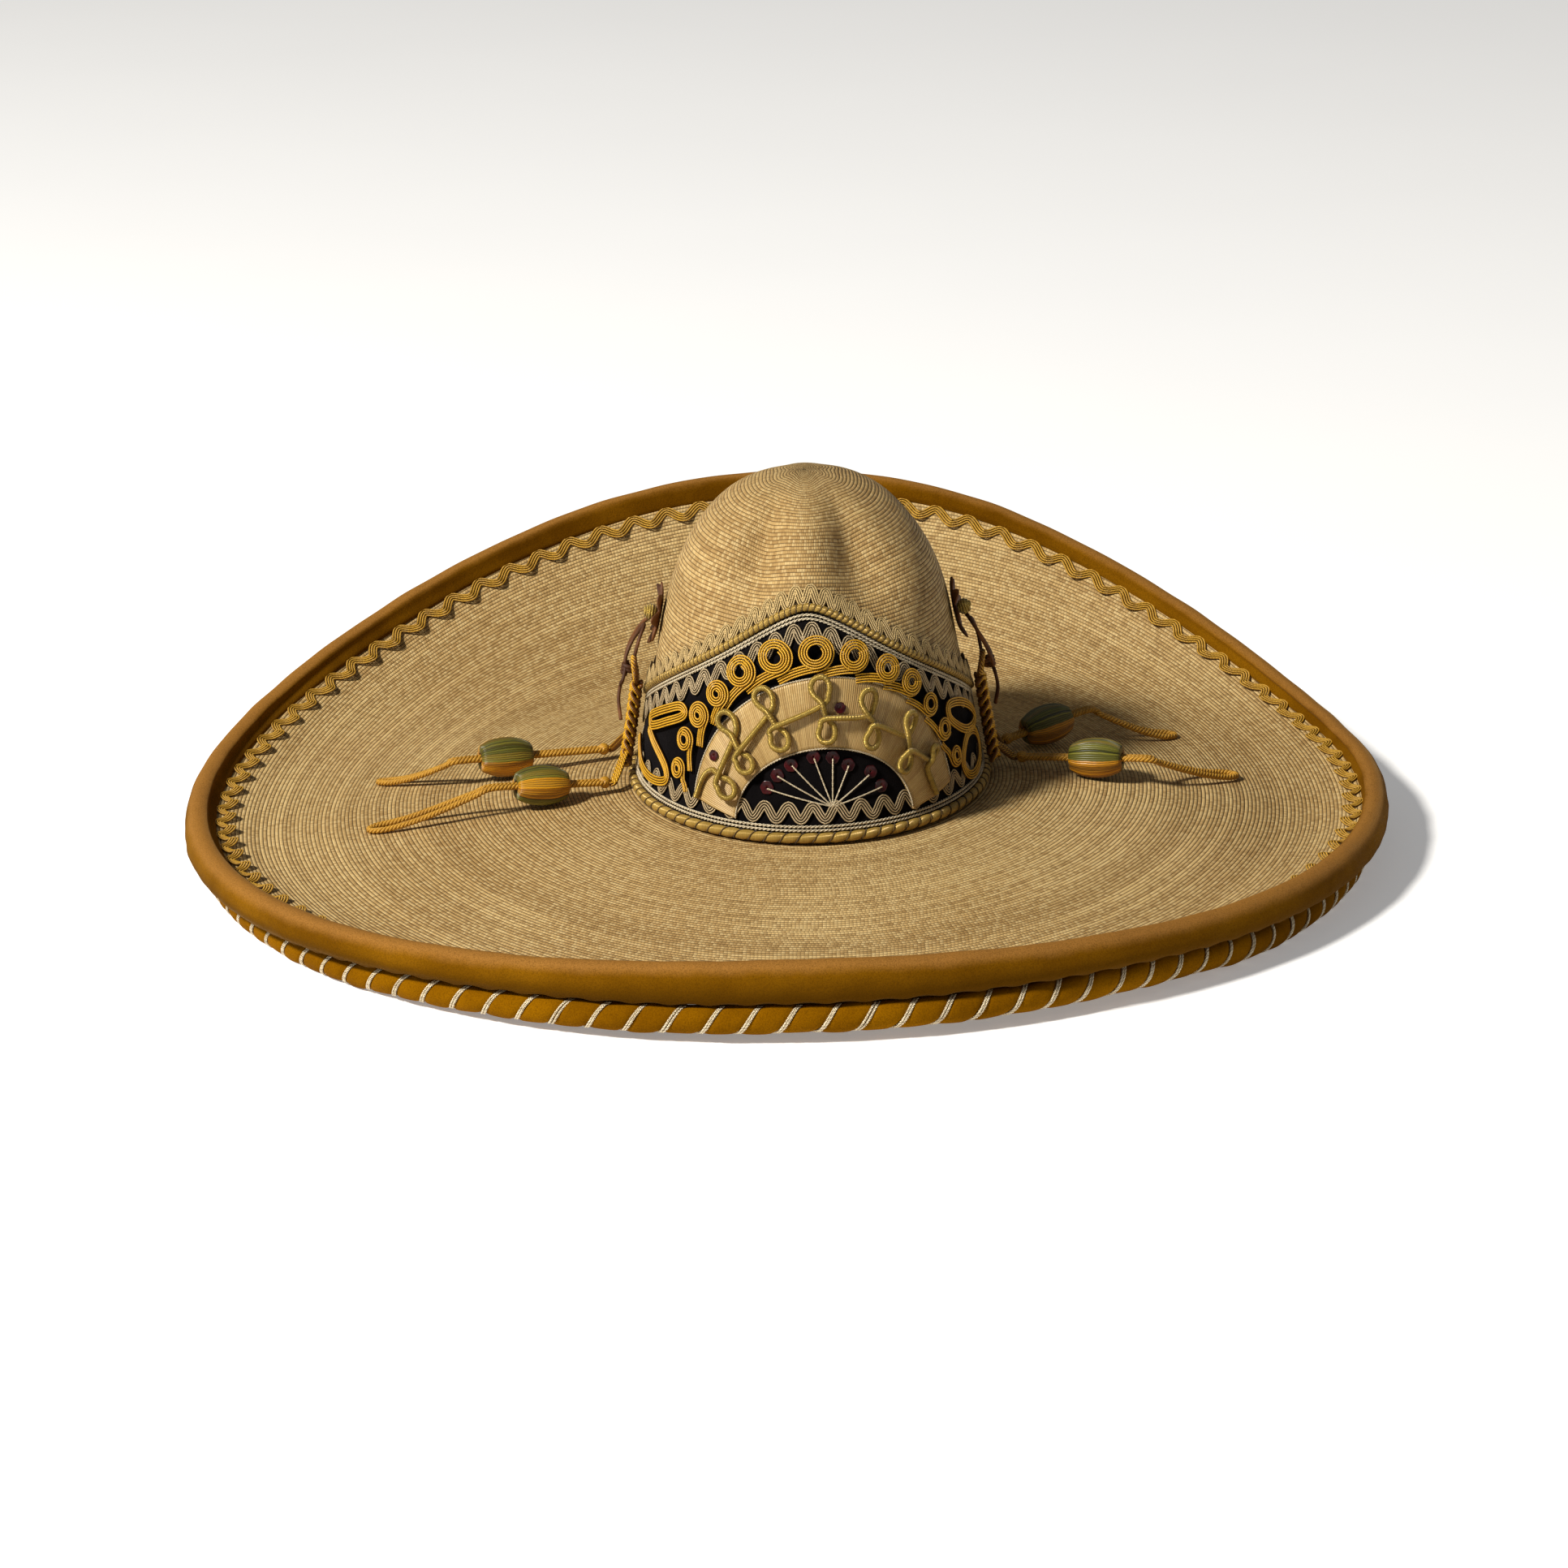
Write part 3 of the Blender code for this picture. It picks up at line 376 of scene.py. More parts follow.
def mpd(deg, h):
    """Metres to a degree on the crown."""
    a, b = on_crown(deg - 1.0, h)[0], on_crown(deg + 1.0, h)[0]
    return float(np.linalg.norm(b - a)) / 2.0


# ================================================================ materials
def lin(r, g, b):
    f = lambda c: (c / 255.0 / 12.92) if c <= 10 else ((c / 255.0 + 0.055) / 1.055) ** 2.4
    return (f(r), f(g), f(b), 1.0)


class Mat:
    def __init__(self, name, rough=0.8, metallic=0.0, sheen=0.0, sheen_rough=0.4, sheen_tint=(1, 1, 1, 1), spec=0.5):
        self.m = bpy.data.materials.new(name)
        self.m.use_nodes = True
        self.t = self.m.node_tree
        self.b = self.t.nodes["Principled BSDF"]
        self.b.inputs["Roughness"].default_value = rough
        self.b.inputs["Metallic"].default_value = metallic
        self.b.inputs["Sheen Weight"].default_value = sheen
        self.b.inputs["Sheen Roughness"].default_value = sheen_rough
        self.b.inputs["Sheen Tint"].default_value = sheen_tint
        self.b.inputs["Specular IOR Level"].default_value = spec
        self.tc = self.t.nodes.new("ShaderNodeTexCoord")

    def put(self, sock, v):
        if isinstance(v, bpy.types.NodeSocket):
            self.t.links.new(v, sock)
        else:
            sock.default_value = v

    def math(self, op, a, b=0.0, c=0.0, clamp=False):
        n = self.t.nodes.new("ShaderNodeMath")
        n.operation = op
        n.use_clamp = clamp
        for k, v in enumerate((a, b, c)):
            self.put(n.inputs[k], v)
        return n.outputs[0]

    def uv(self):
        s = self.t.nodes.new("ShaderNodeSeparateXYZ")
        self.t.links.new(self.tc.outputs["UV"], s.inputs[0])
        return s.outputs[0], s.outputs[1]

    def join(self, x, y, z=0.0):
        n = self.t.nodes.new("ShaderNodeCombineXYZ")
        for k, v in enumerate((x, y, z)):
            self.put(n.inputs[k], v)
        return n.outputs[0]

    def noise(self, scale, detail=3.0, rough=0.55, vec=None, stretch=None):
        n = self.t.nodes.new("ShaderNodeTexNoise")
        n.inputs["Scale"].default_value = scale
        n.inputs["Detail"].default_value = detail
        n.inputs["Roughness"].default_value = rough
        v = vec or self.tc.outputs["Object"]
        if stretch:
            mp = self.t.nodes.new("ShaderNodeMapping")
            mp.inputs["Scale"].default_value = stretch
            self.t.links.new(v, mp.inputs["Vector"])
            v = mp.outputs[0]
        self.t.links.new(v, n.inputs["Vector"])
        return n.outputs["Fac"]

    def white(self, vec):
        n = self.t.nodes.new("ShaderNodeTexWhiteNoise")
        n.noise_dimensions = "2D"
        self.t.links.new(vec, n.inputs["Vector"])
        return n.outputs["Value"]

    def mix(self, fac, a, b, blend="MIX"):
        n = self.t.nodes.new("ShaderNodeMix")
        n.data_type = "RGBA"
        n.blend_type = blend
        self.put(n.inputs["Factor"], fac)
        self.put(n.inputs["A"], a)
        self.put(n.inputs["B"], b)
        return n.outputs["Result"]

    def ramp(self, fac, stops):
        n = self.t.nodes.new("ShaderNodeValToRGB")
        r = n.color_ramp
        while len(r.elements) < len(stops):
            r.elements.new(0.5)
        for e, (p, c) in zip(r.elements, stops):
            e.position = p
            e.color = c if len(c) == 4 else (*c, 1)
        self.put(n.inputs[0], fac)
        return n.outputs[0]

    def span(self, x, a, b, lo=0.0, hi=1.0, kind="SMOOTHSTEP"):
        n = self.t.nodes.new("ShaderNodeMapRange")
        n.interpolation_type = kind
        for k, v in zip(("Value", "From Min", "From Max", "To Min", "To Max"), (x, a, b, lo, hi)):
            self.put(n.inputs[k], v)
        return n.outputs[0]

    def finish(self, colour, height=None, dist=0.0003, strength=0.6, rough=None, height2=None, dist2=0.001):
        self.put(self.b.inputs["Base Color"], colour)
        if rough is not None:
            self.put(self.b.inputs["Roughness"], rough)
        last = None
        for h, d in ((height2, dist2), (height, dist)):
            if h is None:
                continue
            n = self.t.nodes.new("ShaderNodeBump")
            n.inputs["Strength"].default_value = strength
            n.inputs["Distance"].default_value = d
            self.t.links.new(h, n.inputs["Height"])
            if last is not None:
                self.t.links.new(last, n.inputs["Normal"])
            last = n.outputs[0]
        if last is not None:
            self.t.links.new(last, self.b.inputs["Normal"])
        return self.m


def straw(name, cells0, cells1, top_v):
    """Rings of narrow plait: v counts rings, u goes once round."""
    m = Mat(name, 0.72, spec=0.35)
    u, v = m.uv()
    ring = m.math("FLOOR", v)
    f = m.math("FRACT", v)
    tone = m.white(m.join(ring, 3.7))
    cells = m.math("ROUND", m.span(ring, 0.0, top_v, cells0, cells1, "LINEAR"))
    x = m.math("ADD", m.math("MULTIPLY", u, cells), m.math("MULTIPLY", tone, 7.3))
    cell = m.math("FLOOR", x)
    fx = m.math("FRACT", x)
    dash = m.white(m.join(cell, ring))
    # height: a rounded ridge to each ring, nicked where one straw passes under the next
    ridge = m.math("SINE", m.math("MULTIPLY", f, PI))
    ridge = m.math("POWER", ridge, 0.6)
    nick = m.math("SINE", m.math("MULTIPLY", fx, PI))
    nick = m.math("POWER", nick, 0.5)
    low = m.math("MULTIPLY", ridge, m.math("ADD", m.math("MULTIPLY", nick, 0.45), 0.55))
    groove = m.span(ridge, 0.05, 0.75, 0.0, 1.0)
    gap = m.span(nick, 0.15, 0.75, 0.0, 1.0)
    big = m.noise(9.0, 3.0, 0.5)
    fine = m.noise(260.0, 2.0, 0.6)
    base = m.mix(m.span(big, 0.35, 0.65), lin(192, 158, 100), lin(212, 180, 120))
    base = m.mix(m.math("MULTIPLY", tone, 0.62), base, lin(150, 116, 64))
    base = m.mix(m.math("MULTIPLY", m.span(dash, 0.45, 1.0), 0.42), base, lin(224, 198, 142))
    base = m.mix(m.math("MULTIPLY", m.span(dash, 0.34, 0.0), 0.45), base, lin(130, 97, 50))
    base = m.mix(m.math("MULTIPLY", m.span(fine, 0.4, 0.8), 0.25), base, lin(170, 130, 75))
    # painted shade in the nicks where one straw passes under the next
    base = m.mix(m.math("MULTIPLY", m.math("SUBTRACT", 1.0, gap), 0.38), base, lin(104, 74, 36))
    # painted shade in the grooves between the rings
    base = m.mix(m.math("MULTIPLY", m.math("SUBTRACT", 1.0, groove), 0.95), base, lin(62, 40, 14))
    return m.finish(base, low, 0.00060, 0.9)


def velvet(name, light, dark, deep, sheen=0.55, tint=(1.0, 0.8, 0.5, 1.0), scale=1.0, crest_highlight=None, flank_shade=None):
    """Cut pile; on the upper roll v goes round its section, with a painted highlight along the top of the roll and
    painted shade on its lower outer face.
    """
    m = Mat(name, 0.95, sheen=sheen, sheen_rough=0.35, sheen_tint=tint, spec=0.02)
    a = m.noise(16.0 * scale, 4.0, 0.55)
    b = m.noise(70.0 * scale, 3.0, 0.6)
    c = m.noise(1600.0, 2.0, 0.7)
    col = m.mix(m.span(a, 0.34, 0.68), dark, light)
    col = m.mix(m.math("MULTIPLY", m.span(b, 0.45, 0.75), 0.35), col, light)
    if crest_highlight is not None:
        u, v = m.uv()
        vv = m.math("ADD", v, m.math("MULTIPLY", m.math("SUBTRACT", b, 0.5), 0.05))
        # painted highlight: a pale band along the top of the upper roll, where the lamp catches the pile
        top = m.span(m.math("ABSOLUTE", m.math("SUBTRACT", vv, 0.335)), 0.135, 0.05)
        col = m.mix(m.math("MULTIPLY", top, 0.72), col, crest_highlight)
        # painted shade: a darker band down the lower outer face of the roll, which faces away from the lamp
        low = m.math("MULTIPLY", m.span(vv, 0.44, 0.60), m.span(vv, 0.86, 0.78))
        col = m.mix(m.math("MULTIPLY", low, 0.85), col, flank_shade)
    col = m.mix(m.math("MULTIPLY", m.span(c, 0.62, 0.30), 0.45), col, deep)
    return m.finish(col, c, 0.0005, 0.5, height2=b, dist2=0.0008)


def thread(name, light, dark, pitch=0.55, slant=1.0, rough=0.5, metallic=0.0, sheen=0.2, spec=0.5, tint=(1, 1, 1, 1), wear=None, edge=0.0, deep=None):
    """Fine yarn laid round a cord: u is millimetres along, v is turns round it."""
    m = Mat(name, rough, metallic, sheen, 0.3, tint, spec)
    u, v = m.uv()
    x = m.math("ADD", m.math("DIVIDE", u, pitch), m.math("MULTIPLY", v, slant))
    w = m.math("ABSOLUTE", m.math("SINE", m.math("MULTIPLY", x, PI)))
    s = m.white(m.join(m.math("FLOOR", x), 1.3))
    big = m.noise(120.0, 3.0, 0.6)
    # painted shade: each twist runs from the dark colour in its valley to the light colour on its crown
    col = m.mix(m.span(w, 0.05, 0.8), dark, light)
    col = m.mix(m.math("MULTIPLY", s, 0.30), col, dark)
    col = m.mix(m.math("MULTIPLY", m.span(big, 0.45, 0.75), 0.35), col, wear or dark)
    if edge > 0.0:                     # painted shade in the valleys beside each strand, on the side of it turned away from up
        up = m.math("SINE", m.math("MULTIPLY", v, 2.0 * PI))
        col = m.mix(m.math("MULTIPLY", m.span(up, 0.86, 0.25), edge), col, deep or dark)
    return m.finish(col, w, 0.00022, 0.7)


M_STRAW_B = straw("straw_brim", 330, 1120, 107.0)
M_STRAW_C = straw("straw_crown", 340, 250, 66.0)
M_RIM = velvet("rim_velvet_nap", lin(128, 84, 6), lin(100, 62, 1), lin(62, 36, 0), 0.12, (1.0, 0.66, 0.30, 1.0), crest_highlight=lin(164, 115, 56), flank_shade=lin(78, 48, 1))
M_FACE = velvet("rim_velvet_low", lin(186, 122, 28), lin(150, 92, 12), lin(92, 50, 6), 0.35)
M_LOW = velvet("low_velvet_nap", lin(138, 90, 1), lin(112, 70, 0), lin(70, 40, 0), 0.03, (1.0, 0.62, 0.2, 1.0))
M_BLACK = velvet("black_velvet_nap", lin(22, 19, 20), lin(10, 9, 10), lin(3, 3, 3), 0.12, (0.7, 0.65, 0.7, 1.0))
M_GOLD = thread("gold_braid_yarn", lin(226, 176, 62), lin(130, 86, 12), 0.62, 1.0, 0.36, 0.15, 0.0, edge=0.8, deep=lin(84, 50, 4))
M_PIPE = thread("piping_yarn", lin(210, 174, 88), lin(116, 84, 26), 0.42, 0.6, 0.30, 0.25, 0.0)
M_BEIGE = thread("beige_braid_yarn", lin(230, 200, 138), lin(128, 98, 46), 0.7, 1.0, 0.45, 0.15, 0.0, edge=0.95, deep=lin(58, 38, 12))
M_SILVER = thread("silver_braid_yarn", lin(218, 194, 152), lin(110, 90, 60), 0.6, 1.0, 0.30, 0.3, 0.0, edge=0.9, deep=lin(52, 42, 28))
M_WHITE = thread("white_cord_yarn", lin(240, 226, 196), lin(140, 120, 84), 0.8, 1.0, 0.36, 0.2, 0.0)
M_STITCH = thread("silver_stitch_yarn", lin(246, 232, 200), lin(132, 108, 70), 0.9, 1.0, 0.32, 0.3, 0.0)
M_YELLOW = thread("yellow_braid_yarn", lin(242, 188, 42), lin(164, 106, 6), 0.8, 1.0, 0.34, 0.0, 0.0, 0.5, (1, 0.85, 0.5, 1), edge=0.95, deep=lin(92, 48, 1))
M_OLIVE = thread("olive_gold_yarn", lin(206, 174, 84), lin(98, 76, 20), 0.45, 0.5, 0.27, 0.5)
M_CORD = thread("pendant_yarn", lin(216, 162, 48), lin(138, 90, 12), 0.55, 1.0, 0.45, 0.0, 0.0, 0.5, (1, 0.85, 0.5, 1))


def satin():
    """Ribbed satin: u runs along the arch in millimetres, v across it."""
    m = Mat("ribbed_satin", 0.44, 0.05, 0.0, 0.3, (1, 0.92, 0.75, 1), 0.6)
    u, v = m.uv()
    x = m.math("DIVIDE", u, 0.95)
    w = m.math("ABSOLUTE", m.math("SINE", m.math("MULTIPLY", x, PI)))
    y = m.math("ABSOLUTE", m.math("SINE", m.math("MULTIPLY", v, 44.0)))
    s = m.white(m.join(m.math("FLOOR", x), m.math("FLOOR", m.math("MULTIPLY", v, 6.0))))
    big = m.noise(38.0, 3.0, 0.55)
    # painted shade: each rib is dark in its valley and light on its crown
    col = m.mix(m.span(w, 0.0, 0.65), lin(106, 78, 34), lin(200, 168, 108))
    col = m.mix(m.math("MULTIPLY", s, 0.5), col, lin(168, 130, 66))
    col = m.mix(m.math("MULTIPLY", m.span(big, 0.42, 0.66), 0.30), col, lin(208, 178, 118))
    band = m.noise(1.0, 3.0, 0.6, vec=m.join(m.math("MULTIPLY", u, 0.42), m.math("MULTIPLY", v, 0.9)))
    col = m.mix(m.math("MULTIPLY", m.span(band, 0.45, 0.66), 0.55), col, lin(150, 116, 62))
    h = m.math("ADD", m.math("MULTIPLY", w, 0.8), m.math("MULTIPLY", y, 0.25))
    return m.finish(col, h, 0.00028, 0.7)


def leather(name, light, dark, rough=0.6):
    m = Mat(name, rough, spec=0.35)
    a = m.noise(420.0, 4.0, 0.65)
    b = m.noise(60.0, 3.0, 0.5)
    col = m.mix(m.span(b, 0.35, 0.7), dark, light)
    col = m.mix(m.math("MULTIPLY", m.span(a, 0.5, 0.75), 0.35), col, dark)
    return m.finish(col, a, 0.0003, 0.5)


def sequin_mat():
    m = Mat("sequin_red", 0.30, 0.0, spec=0.3)
    m.b.inputs["Coat Weight"].default_value = 0.1
    m.b.inputs["Coat Roughness"].default_value = 0.1
    a = m.noise(300.0, 2.0)
    u, v = m.uv()
    col = m.mix(m.span(a, 0.4, 0.7), lin(38, 1, 3), lin(68, 4, 8))
    return m.finish(col, a, 0.0001, 0.3)


def bead_mat():
    """Wound threads lie along the bead; broad sectors of green and gold. v is turns round it."""
    m = Mat("bead_wound_thread", 0.40, 0.0, 0.08, 0.3, (1, 0.95, 0.7, 1), 0.55)
    u, v = m.uv()
    wob = m.noise(130.0, 2.0, 0.5)
    vv = m.math("ADD", v, m.math("MULTIPLY", m.math("SUBTRACT", wob, 0.5), 0.02))
    t = m.math("MULTIPLY", vv, 52.0)
    w = m.math("ABSOLUTE", m.math("SINE", m.math("MULTIPLY", t, PI)))
    s = m.white(m.join(m.math("FLOOR", t), 2.1))
    sec = m.math("FRACT", m.math("MULTIPLY", vv, 2.0))
    green = m.math("LESS_THAN", sec, 0.60)
    cg = m.mix(s, lin(46, 50, 4), lin(124, 120, 38))
    co = m.mix(s, lin(150, 92, 2), lin(232, 164, 22))
    col = m.mix(green, co, cg)
    s2 = m.white(m.join(m.math("FLOOR", m.math("MULTIPLY", vv, 19.0)), 5.3))
    col = m.mix(m.math("MULTIPLY", m.span(s2, 0.55, 0.9), 0.35), col, lin(158, 122, 38))
    # painted shade in the valleys between the wound threads
    col = m.mix(m.math("MULTIPLY", m.span(w, 0.6, 0.0), 0.6), col, lin(58, 44, 8))
    return m.finish(col, w, 0.00035, 0.8)


M_SATIN = satin()
M_LEATHER = leather("brown_lace_leather", lin(126, 78, 38), lin(66, 36, 15))
M_SWEAT = leather("sweatband_leather", lin(150, 108, 66), lin(112, 74, 40), 0.5)
M_SEQUIN = sequin_mat()
M_BEAD = bead_mat()
M_WIRE = leather("wire_steel", lin(150, 148, 144), lin(110, 108, 104), 0.35)
M_WIRE.node_tree.nodes["Principled BSDF"].inputs["Metallic"].default_value = 1.0


# ================================================================ pendants: the free cords
PENDANTS = [          # name, hinge, bead middle, loop end (x, y), spread of the loop, spin of the bead's colours
    ("left_back", (-0.0920, 0.0275), (-0.1406, 0.0112), (-0.2044, 0.0254), 0.0012, 0.075),
    ("left_front", (-0.0895, -0.0270), (-0.1202, -0.0390), (-0.2030, -0.0473), 0.0034, -0.03),
    ("right_back", (0.1120, 0.0330), (0.1326, 0.0448), (0.1983, 0.0791), 0.0030, 0.04),
    ("right_front", (0.1182, 0.0034), (0.1547, -0.0077), (0.2243, 0.0175), 0.0036, 0.06),
]
CORD_R, BEAD_R, BEAD_L = 0.00135, 0.0100, 0.0265


def pendant(spec):
    name, s, b, e, spread, spin = spec
    S = Vector((s[0], s[1], brim_height(*s) + 0.0062))
    B = Vector((b[0], b[1], brim_height(*b) + BEAD_R + 0.0012))
    u = (B - S).normalized()
    E = Vector((e[0], e[1], brim_height(*e) + 0.0018))
    Q = B + u * (BEAD_L / 2 + 0.012)
    pts = [S, S.lerp(B, 0.5), B, Q]
    for k in range(1, 8):
        t = k / 7.0
        x, y = Q.x + (E.x - Q.x) * t, Q.y + (E.y - Q.y) * t
        ground = brim_height(x, y) + 0.0016
        drop = Q.z + u.z * math.hypot(x - Q.x, y - Q.y) - ground
        pts.append(Vector((x, y, ground + max(0.0, drop) * (1 - t) ** 2)))
    line = []
    n = len(pts)
    for sgn in (1.0, -1.0):
        leg = []
        for k, p in enumerate(pts[:-1] if sgn > 0 else pts[:-1]):
            t = (pts[min(k + 1, n - 1)] - pts[max(k - 1, 0)]).normalized()
            side = Vector((0, 0, 1)).cross(t).normalized()
            if k <= 3:
                side = Vector((0, 0, 1)).cross(u).normalized()
            g = 0.0016 if k <= 3 else 0.0016 + spread * math.sin(PI / 2 * min(1.0, (k - 3) / 4.5))
            leg.append(p + side * (g * sgn))
        line.append(leg)
    t = (pts[-1] - pts[-2]).normalized()
    side = Vector((0, 0, 1)).cross(t).normalized()
    w = 0.0016 + spread
    tip = [pts[-1] - t * 0.004 + side * w * 0.96, pts[-1] + t * 0.0006 + side * w * 0.62, pts[-1] + t * 0.0022,
           pts[-1] + t * 0.0006 - side * w * 0.62, pts[-1] - t * 0.004 - side * w * 0.96]
    whole = line[0] + tip + line[1][::-1]
    return S, B, u, [tuple(p) for p in whole]


for spec in PENDANTS:
    tag = spec[0]
    S, B, u, route = pendant(spec)
    p = catmull(route, False, 8)
    p, up = even(p, np.tile([0.0, 0.0, 1.0], (len(p), 1)), 0.0008)
    g = Geo()
    g.rope(p, up, CORD_R * 1.2, 3, 0.0060, 6)
    # the wound ball that it turns on
    su = np.array(u)
    ss = np.cross([0, 0, 1.0], su)
    ss /= np.linalg.norm(ss)
    th = np.linspace(0.10, PI - 0.10, 13)
    ball = np.array(S)[None] + ss[None] * (0.0029 * np.cos(th))[:, None]
    g.tube(ball, np.tile(np.cross(ss, su), (len(th), 1)), 0.0029 * np.sin(th) + 0.00012 * np.where(np.arange(13) % 2, 1.0, -1.0), 24)
    ob = g.make("pendant_" + tag, M_CORD, "cord_" + tag, "pendant_cord", "pendant_cord_" + tag)
    # the bead: a six-sided barrel wound with thread from end to end
    g = Geo()
    un = np.array(u)
    sd = np.cross([0, 0, 1.0], un)
    sd /= np.linalg.norm(sd)
    upv = np.cross(un, sd)
    if upv[2] < 0:
        upv = -upv
    prof = [(-13.25, 2.9), (-13.25, 4.6), (-13.1, 6.0), (-12.6, 6.8), (-11.0, 7.6), (-8.5, 8.7), (-5.5, 9.5), (-2.0, 9.95), (2.0, 9.95),
            (5.5, 9.5), (8.5, 8.7), (11.0, 7.6), (12.6, 6.8), (13.1, 6.0), (13.25, 4.6), (13.25, 2.9), (0.0, 2.9)]
    NA = 84
    a = 2 * PI * np.arange(NA) / NA
    rings = []
    for x, r in prof:
        face = 1.0 - (0.035 * (1.0 - np.cos(6.0 * a)) if r > 4 else 0.0) + (0.012 * np.where(np.arange(NA) % 2, 1.0, -1.0) if r > 4 else 0.0)
        rr = r / 1000.0 * face
        rings.append(np.array(B) + un * (x / 1000.0) + sd * (rr * np.cos(a))[:, None] + upv * (rr * np.sin(a))[:, None])
    pts = np.stack(rings, 1)          # section per angle, profile loop inside
    nsec = len(a)
    uvv = np.zeros((nsec + 1, len(prof) + 1, 2))
    uvv[..., 0] = np.append([x for x, _ in prof], prof[0][0])[None]
    view = 1.0 if sd[1] < 0 else -1.0
    turn = np.arange(nsec + 1) / nsec
    uvv[..., 1] = ((turn - 0.0) * view + spec[5] + 0.42 + 2.0)[:, None]
    g.grid(pts, True, uv=uvv)
    bead = g.make("wound_bead_" + tag, M_BEAD, "bead_%s_body" % tag, "bead_thread", "bead_" + tag)


# ================================================================ straw
def straw_brim():
    nphi, ns = 360, 96
    phi = 2 * PI * np.arange(nphi) / nphi
    s = np.concatenate([np.linspace(0.0, 0.70, 46)[:-1], np.linspace(0.70, 1.0, ns - 45)])
    top = brim_xyz(phi[:, None], s[None])
    n = brim_n(phi[:, None], np.broadcast_to(s, (nphi, ns)))
    deg = np.degrees(phi)[:, None]
    wave = 0.00035 * np.sin(deg * PI / 180 * 7 + s * 9) * s + 0.0003 * np.sin(deg * PI / 180 * 13 - s * 17) * s
    up, low = top + n * (BT / 2 + wave[..., None]), top + n * (-BT / 2 + wave[..., None])
    pts = np.concatenate([up, low[:, ::-1]], 1)
    rho = np.stack([np.interp(s, SS, RHO[int(k * (NB - 1) / nphi)]) for k in range(nphi + 1)]) / PITCH
    uv = np.zeros((nphi + 1, 2 * ns + 1, 2))
    uv[..., 0] = (np.arange(nphi + 1) / nphi)[:, None]
    uv[:, :ns, 1] = rho
    uv[:, ns:2 * ns, 1] = rho[:, ::-1]
    uv[:, -1, 1] = rho[:, 0]
    g = Geo()
    g.grid(pts, True, uv=uv)
    g.make("straw_brim", M_STRAW_B, "hat", "palm_straw", "brim")


def straw_crown():
    nphi = 360
    phi = 2 * PI * np.arange(nphi) / nphi
    a = np.linspace(math.asin(0.70 ** 2.25), PI / 2 * 0.9965, 46)
    h = np.concatenate([np.linspace(0.0, 0.70, 52)[:-1], np.sin(a) ** (1 / 2.25)]) * CH
    top = crown_xyz(phi[:, None], h[None])
    n = crown_n(phi[:, None], np.broadcast_to(h, (nphi, len(h))))
    soft = 0.0004 * np.sin(3 * phi[:, None] + h * 90) + 0.0003 * np.sin(7 * phi[:, None] - h * 60)
    fade = np.clip((CH - h) / 0.02, 0, 1) * np.clip(h / 0.02, 0, 1)
    top = top + n * (soft * fade)[..., None]
    low = top - n * 0.0020
    low[:, :, 2] = np.minimum(low[:, :, 2], CZ + CH - 0.0021)
    m = len(h)
    pts = np.concatenate([top, low[:, ::-1]], 1)
    step = np.linalg.norm(np.diff(top, axis=1), axis=2)
    v = np.concatenate([np.zeros((nphi, 1)), np.cumsum(step, 1)], 1) / PITCH
    v = np.concatenate([v, v[:1]])
    uv = np.zeros((nphi + 1, 2 * m + 1, 2))
    uv[..., 0] = (np.arange(nphi + 1) / nphi)[:, None]
    uv[:, :m, 1], uv[:, m:2 * m, 1], uv[:, -1, 1] = v, v[:, ::-1], v[:, 0]
    g = Geo()
    g.grid(pts, True, uv=uv)
    g.make("straw_crown", M_STRAW_C, "hat", "palm_straw", "crown_shell")


straw_brim()
straw_crown()

# ================================================================ the lip
STITCHES, WAVES = 106, 96


def inner_reach(deg):
    """How far the upper roll laps in over the straw: less on the right than on the left."""
    a = (np.asarray(deg, float) + 180.0) % 360.0 - 180.0
    right = sm((a + 10.0) / 60.0) * sm((200.0 - a) / 40.0)
    return 0.0082 - 0.0026 * right - 0.0008 * sm((np.abs(a) - 120.0) / 50.0)


